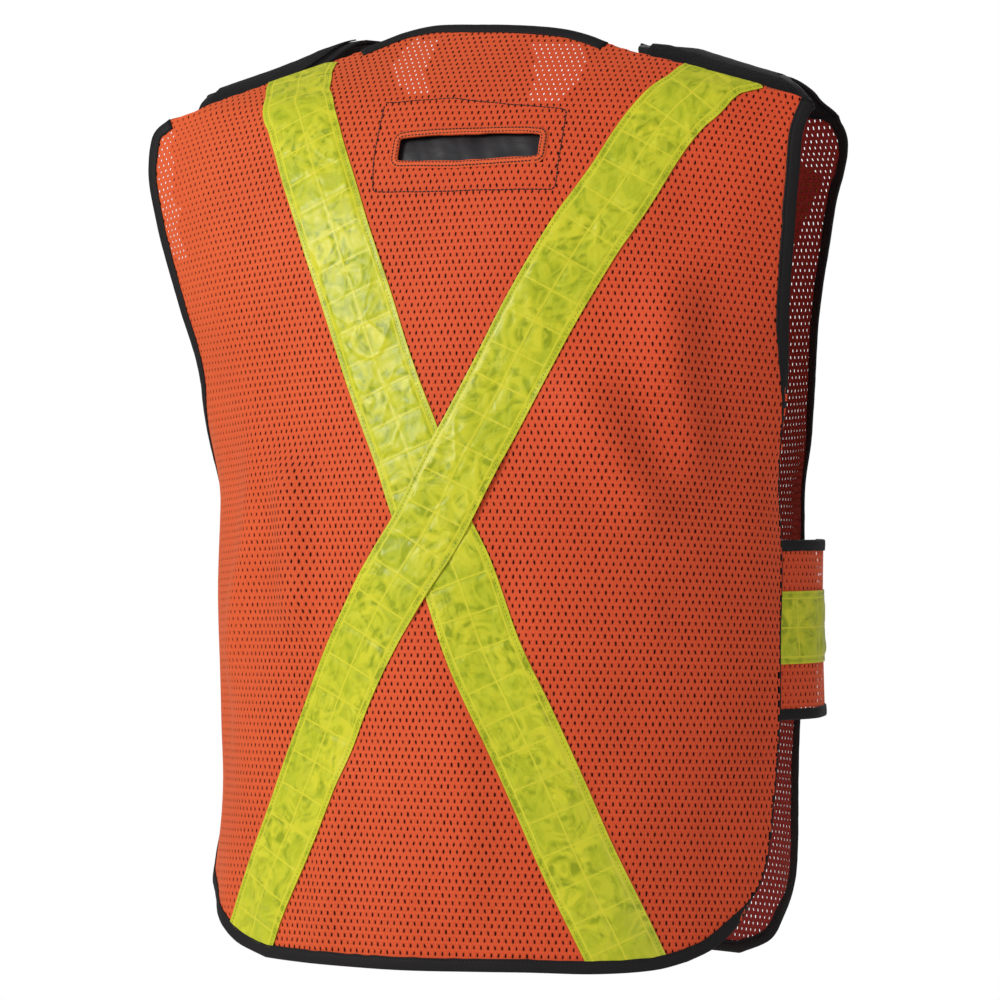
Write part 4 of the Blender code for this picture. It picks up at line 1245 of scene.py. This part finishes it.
PIECES = {"left": [], "right": []}
for side, word, lift in ((1, "right", 0.0), (-1, "left", 0.0052)):
    body = "front_" + word
    flip = (lambda p: p) if side > 0 else mirror
    outer, hem = Curve(flip(FRONT_SIDE if side > 0 else FRONT_SIDE_LEFT)), Curve(flip(FRONT_HEM))
    centre = Curve(flip(FRONT_CENTRE if side > 0 else FRONT_CENTRE_LEFT))
    end = Curve(flip(FRONT_END if side > 0 else FRONT_END_LEFT))
    raise_it = closure_lift(lift, SAG_RIGHT if side > 0 else SAG_LEFT)
    poly = bounded([(hem, False), (centre, False), (end, True), (outer, True)])
    cloth = Cloth(side * 152.0, -0.016, 0.98, 0.21)
    dense, _, _ = chain([(outer, True), (hem, False), (centre, False)], 0.0012)
    dense_end, _, _ = chain([(end, False)], 0.0012)
    part = Part()
    knit(part, cloth, poly, form(dense[:, 0], dense[:, 1]), dense_end, ((-0.205, 0.205), (0.0, 0.97)), FRONT_MID,
         lift=raise_it, seed=20 + side, small=0.74)
    # inner skin in the darker copy of the mesh: painted shade on the inside of the front
    knit(part, cloth, poly, form(dense[:, 0], dense[:, 1]), dense_end, ((-0.205, 0.205), (0.0, 0.97)), FRONT_MID - 0.00032,
         lift=raise_it, seed=20 + side, small=0.84, mat=1)
    ob = part.build("vest_front_mesh_" + word, [ORANGE, INNER_PAINTED_SHADE], ["front_panel_" + word])
    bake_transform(ob)
    front_mesh = ob

    p, sd, run = chain([(outer, True), (hem, False), (centre, False)])
    part = Part()
    binding(part, p, sd * side, run, FRONT_MID, lift=raise_it, seed=30 + side)
    ob = part.build("vest_front_binding_" + word, [BLACK, THREAD_BLACK], ["front_edge_binding_" + word])
    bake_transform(ob)
    trim = [ob]

    off = FRONT_MID + 0.0004
    part = Part()
    path = [(152, -.0100), (152, .080), (152, .2085)]
    tape(part, Curve(flip(path)), (0, 1), off, None, 40 + side, poly, (0.004, 0.0), fine=0.0012)
    ob = part.build("vest_front_low_tape_" + word, [VINYL, THREAD_LIME], ["front_low_tape_" + word])
    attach(ob, body)
    trim.append(ob)
    part = Part()
    path = [(152, .2605), (151, .380), (147, .470), (141, .530), (135, .572)]
    tape(part, Curve(flip(path)), (0, 1), off, None, 50 + side, None, fine=0.0012, lift=raise_it)
    ob = part.build("vest_front_chest_tape_" + word, [VINYL, THREAD_LIME], ["front_chest_tape_" + word])
    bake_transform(ob)
    trim.append(ob)
    part = Part()
    far = 174.0 if side > 0 else 184.0
    path = [(126.0 * 1, WAIST_TAPE_HEIGHT), (150, WAIST_TAPE_HEIGHT), (far, WAIST_TAPE_HEIGHT)]
    path = [(143.0, WAIST_TAPE_HEIGHT), (158.0, WAIST_TAPE_HEIGHT), (far, WAIST_TAPE_HEIGHT)]
    tape(part, Curve(flip(path)), (0, 1), off, None, 60 + side, None, fine=0.0012, lift=raise_it)
    ob = part.build("vest_front_waist_tape_" + word, [VINYL, THREAD_LIME], ["front_waist_tape_" + word])
    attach(ob, body)
    trim.append(ob)

    # shoulder fastening
    us = np.linspace(0, 1, 24)

    def between(v0, v1, n, inner):
        v = np.linspace(v0, v1, n)
        A, B = outer(v), centre(v)
        ia = moved(A, side_of(A) * -side, np.full(n, inner))
        ib = moved(B, side_of(B) * side, np.full(n, inner))
        return (ia[:, None, 0] * (1 - us) + ib[:, None, 0] * us), (ia[:, None, 1] * (1 - us) + ib[:, None, 1] * us)

    where = np.linspace(0.5, 1, 400)
    high = outer(where)
    first = float(where[np.argmax(high[:, 1] > 0.592)])
    part = Part()
    gt, gz = between(0.845, 0.992, 60, BIND_WIDTH - 0.0005)
    slab(part, gt, gz, FRONT_MID + 0.0004, FRONT_MID + 0.0016, lift=raise_it, relief=0.00015 * noise(gt * 3.1, gz * 900, 15))
    gt, gz = between(first, 0.992, 70, 0.0030)
    slab(part, gt, gz, FRONT_MID - 0.0024, FRONT_MID - 0.0016, lift=raise_it, relief=0.00010 * noise(gt * 3.1, gz * 900, 16))
    ob = part.build("vest_shoulder_loop_" + word, [LOOP, THREAD_BLACK], ["shoulder_loop_" + word])
    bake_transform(ob)
    trim.append(ob)
    part = Part()
    gt, gz = between(0.907, 0.980, 32, BIND_WIDTH + 0.0008)
    slab(part, gt, gz, 0.0025, 0.0035, lift=raise_it, relief=0.00015 * noise(gt * 3.1, gz * 900, 15))
    ob = part.build("vest_shoulder_hook_" + word, [HOOK, THREAD_BLACK], ["shoulder_hook_" + word])
    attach(ob, "back")

    # side strap
    def bulge(t, z, side=side):
        s = (np.abs(t) - STRAP_EDGE[side]) / (130.0 - STRAP_EDGE[side])
        return np.where((s > 0) & (s < 1), STRAP_BULGE[side] * np.sin(np.pi * np.clip(s, 0, 1)), 0.0)

    s0, s1 = side * (STRAP_EDGE[side] - STRAP_UNDER), side * STRAP_TO
    spoly = np.array([(s0, STRAP_BOTTOM), (s1, STRAP_BOTTOM), (s1, STRAP_TOP), (s0, STRAP_TOP)])
    scloth = Cloth((s0 + s1) / 2, STRAP_BOTTOM - 0.01, 0.16, 0.12)
    edge = []
    for z in (STRAP_BOTTOM, STRAP_TOP):
        tt = np.linspace(s0, s1, 120)
        edge.append(form(tt, np.full(120, z)))
    ends_free = np.vstack([np.stack([np.full(110, e), np.linspace(STRAP_BOTTOM, STRAP_TOP, 110)], -1) for e in (s0, s1)])
    part = Part()
    knit(part, scloth, spoly, np.vstack(edge), ends_free, ((-0.115, 0.115), (0.0, 0.15)), STRAP_MID, lift=bulge,
         seed=70 + side, small=0.75)
    ob = part.build("vest_side_strap_" + word, [ORANGE], ["side_strap_" + word])
    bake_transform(ob)
    strap_trim = []
    strap_mesh = ob
    for where, z, up in (("top", STRAP_TOP, 1), ("bottom", STRAP_BOTTOM, -1)):
        c = Curve([(s0, z), ((s0 + s1) / 2, z), (s1, z)])
        p, sd, run = chain([(c, False)])
        part = Part()
        binding(part, p, sd * (-side * up), run, STRAP_MID, lift=bulge, width=0.008, seed=80 + up)
        ob = part.build("vest_strap_%s_binding_%s" % (where, word), [BLACK, THREAD_BLACK],
                        ["side_strap_%s_binding_%s" % (where, word)])
        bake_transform(ob)
        strap_trim.append(ob)
    part = Part()
    ta = side * (STRAP_EDGE[side] - 6.0)
    c = Curve([(ta, WAIST_TAPE_HEIGHT), ((ta + s1) / 2, WAIST_TAPE_HEIGHT), (side * (STRAP_TO - 0.9), WAIST_TAPE_HEIGHT)])
    tape(part, c, (0, 1), STRAP_MID + 0.0004, bulge, 90 + side, None)
    ob = part.build("vest_strap_tape_" + word, [VINYL, THREAD_LIME], ["side_strap_tape_" + word])
    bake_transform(ob)
    strap_trim.append(ob)

    # side tab with its hook strip, and the loop strip it grips
    t, z = rect(side * (STRAP_TO + 1.3), side * TAB_TO, STRAP_BOTTOM + 0.004, STRAP_TOP - 0.004, 50, 70)
    part = Part()
    slab(part, t, z, 0.0040, 0.0050, lift=bulge, relief=0.0002 * noise(t / 4.0, z / 0.02, 21))
    for (ta, za), (tb, zb) in (((STRAP_TO + 2.2, STRAP_BOTTOM + .006), (TAB_TO - 1.0, STRAP_BOTTOM + .006)),
                               ((TAB_TO - 1.0, STRAP_BOTTOM + .006), (TAB_TO - 1.0, STRAP_TOP - .006)),
                               ((TAB_TO - 1.0, STRAP_TOP - .006), (STRAP_TO + 2.2, STRAP_TOP - .006)),
                               ((STRAP_TO + 2.2, STRAP_TOP - .006), (STRAP_TO + 2.2, STRAP_BOTTOM + .006))):
        f = np.linspace(0, 1, 90)
        tt, zz = side * (ta + (tb - ta) * f), za + (zb - za) * f
        stitches(part, at(tt, zz, 0.0050 + bulge(tt, zz)), normal(tt, zz), 0.0030, 1)
    tab = part.build("vest_side_tab_" + word, [NYLON, THREAD_BLACK], ["side_tab_" + word])
    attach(tab, "side_tab_" + word)
    t, z = rect(side * 125.5, side * 138.0, STRAP_BOTTOM + 0.010, STRAP_TOP - 0.010, 30, 60)
    part = Part()
    slab(part, t, z, 0.0027, 0.0034, lift=bulge, relief=0.0001 * noise(t * 4, z * 1500, 22))
    ob = part.build("vest_side_hook_" + word, [HOOK], ["side_hook_" + word])
    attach(ob, "side_tab_" + word)
    t, z = rect(side * 124.0, side * 136.0, STRAP_BOTTOM + 0.006, STRAP_TOP - 0.006, 30, 60)
    part = Part()
    slab(part, t, z, 0.0013, 0.0021, lift=bulge, relief=0.0001 * noise(t * 4, z * 1500, 23))
    ob = part.build("vest_side_loop_" + word, [LOOP], ["side_loop_" + word])
    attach(ob, body)
    trim.append(ob)
    PIECES[word] = [front_mesh, trim, strap_mesh, strap_trim, tab]

t, z = rect(175.0, 183.8, 0.010, 0.430, 16, 220)
part = Part()
slab(part, t, z, 0.0013, 0.0025, relief=0.0002 * noise(t * 3, z * 900, 24))
ob = part.build("vest_front_closure_loop", [LOOP], ["front_closure_loop"])
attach(ob, "front_right")
PIECES["right"][1].append(ob)
t, z = rect(-184.0, -175.5, 0.012, 0.428, 16, 220)
part = Part()
slab(part, t, z, 0.0030, 0.0042, relief=0.0001 * noise(t * 3, z * 900, 25))
ob = part.build("vest_front_closure_hook", [HOOK], ["front_closure_hook"])
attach(ob, "front_left")
PIECES["left"][1].append(ob)

# -------------------------------------------------------------- normals
for ob in [o for o in bpy.context.scene.objects if o.name.startswith("vest_") and "mesh" not in o.name
           and not o.name.startswith("vest_side_strap")]:
    fixed_normals(ob)

for word in ("left", "right"):
    front_mesh, trim, strap_mesh, strap_trim, tab = PIECES[word]

# -------------------------------------------------- stage, light and camera
def plane(name, size, z, mat):
    bpy.ops.mesh.primitive_circle_add(vertices=96, radius=size, fill_type="NGON", location=(0, 0, z))
    ob = bpy.context.active_object
    ob.name = name
    ob.data.materials.append(mat)
    return ob


k = Nodes("pale_floor")
grain = k.noise(k.place(), 3.0, 2.0)
k.finish(k.mix(grain, (0.93, 0.93, 0.93), (0.96, 0.96, 0.96)), None, None)
k.bsdf.inputs["Roughness"].default_value = 0.9
k.bsdf.inputs["Specular IOR Level"].default_value = 0.0
plane("stage_floor", 1.9, -0.90, k.mat)

world = bpy.data.worlds.new("studio")
bpy.context.scene.world = world
world.use_nodes = True
nt = world.node_tree
bg = nt.nodes["Background"]
bg.inputs["Color"].default_value = (1, 1, 1, 1)
bg.inputs["Strength"].default_value = 0.30
seen = nt.nodes.new("ShaderNodeBackground")
seen.inputs["Color"].default_value = (1, 1, 1, 1)
seen.inputs["Strength"].default_value = 1.0
path = nt.nodes.new("ShaderNodeLightPath")
both = nt.nodes.new("ShaderNodeMixShader")
nt.links.new(path.outputs["Is Camera Ray"], both.inputs[0])
nt.links.new(bg.outputs[0], both.inputs[1])
nt.links.new(seen.outputs[0], both.inputs[2])
nt.links.new(both.outputs[0], nt.nodes["World Output"].inputs["Surface"])

bpy.context.scene.view_settings.view_transform = "Standard"


def lamp(name, where, target, size, power, colour=(1, 1, 1)):
    light = bpy.data.lights.new(name, "AREA")
    light.shape = "RECTANGLE"
    light.size, light.size_y = size
    light.energy = power
    light.color = colour
    ob = bpy.data.objects.new(name, light)
    bpy.context.scene.collection.objects.link(ob)
    ob.location = where
    ob.rotation_euler = (Vector(target) - Vector(where)).to_track_quat("-Z", "Y").to_euler()
    return ob


AZ = math.radians(20.0)
cam_dir = Vector((-math.sin(AZ), math.cos(AZ), 0))
cam_right = Vector((-math.cos(AZ), -math.sin(AZ), 0))
aim = Vector((0, 0, -0.25))


def rig(right, up, out):
    return aim + cam_right * right + Vector((0, 0, up)) + cam_dir * out


lamp("key", rig(-2.1, 1.2, 1.5), aim, (1.0, 1.0), 48)
lamp("fill", rig(1.6, 0.3, 2.2), aim, (1.6, 1.6), 9)
lamp("front", rig(0.5, 1.3, -2.3), aim, (1.6, 1.6), 16)

cam = bpy.data.cameras.new("camera")
cam.sensor_width = 36.0
cam.lens = 36.0 * 3.0 / 0.727
cam.shift_x = -0.016
cam_ob = bpy.data.objects.new("camera", cam)
bpy.context.scene.collection.objects.link(cam_ob)
cam_ob.location = (-3.0 * math.sin(AZ), 3.0 * math.cos(AZ), -0.296)
cam_ob.rotation_euler = (-cam_dir).to_track_quat("-Z", "Y").to_euler()
bpy.context.scene.camera = cam_ob
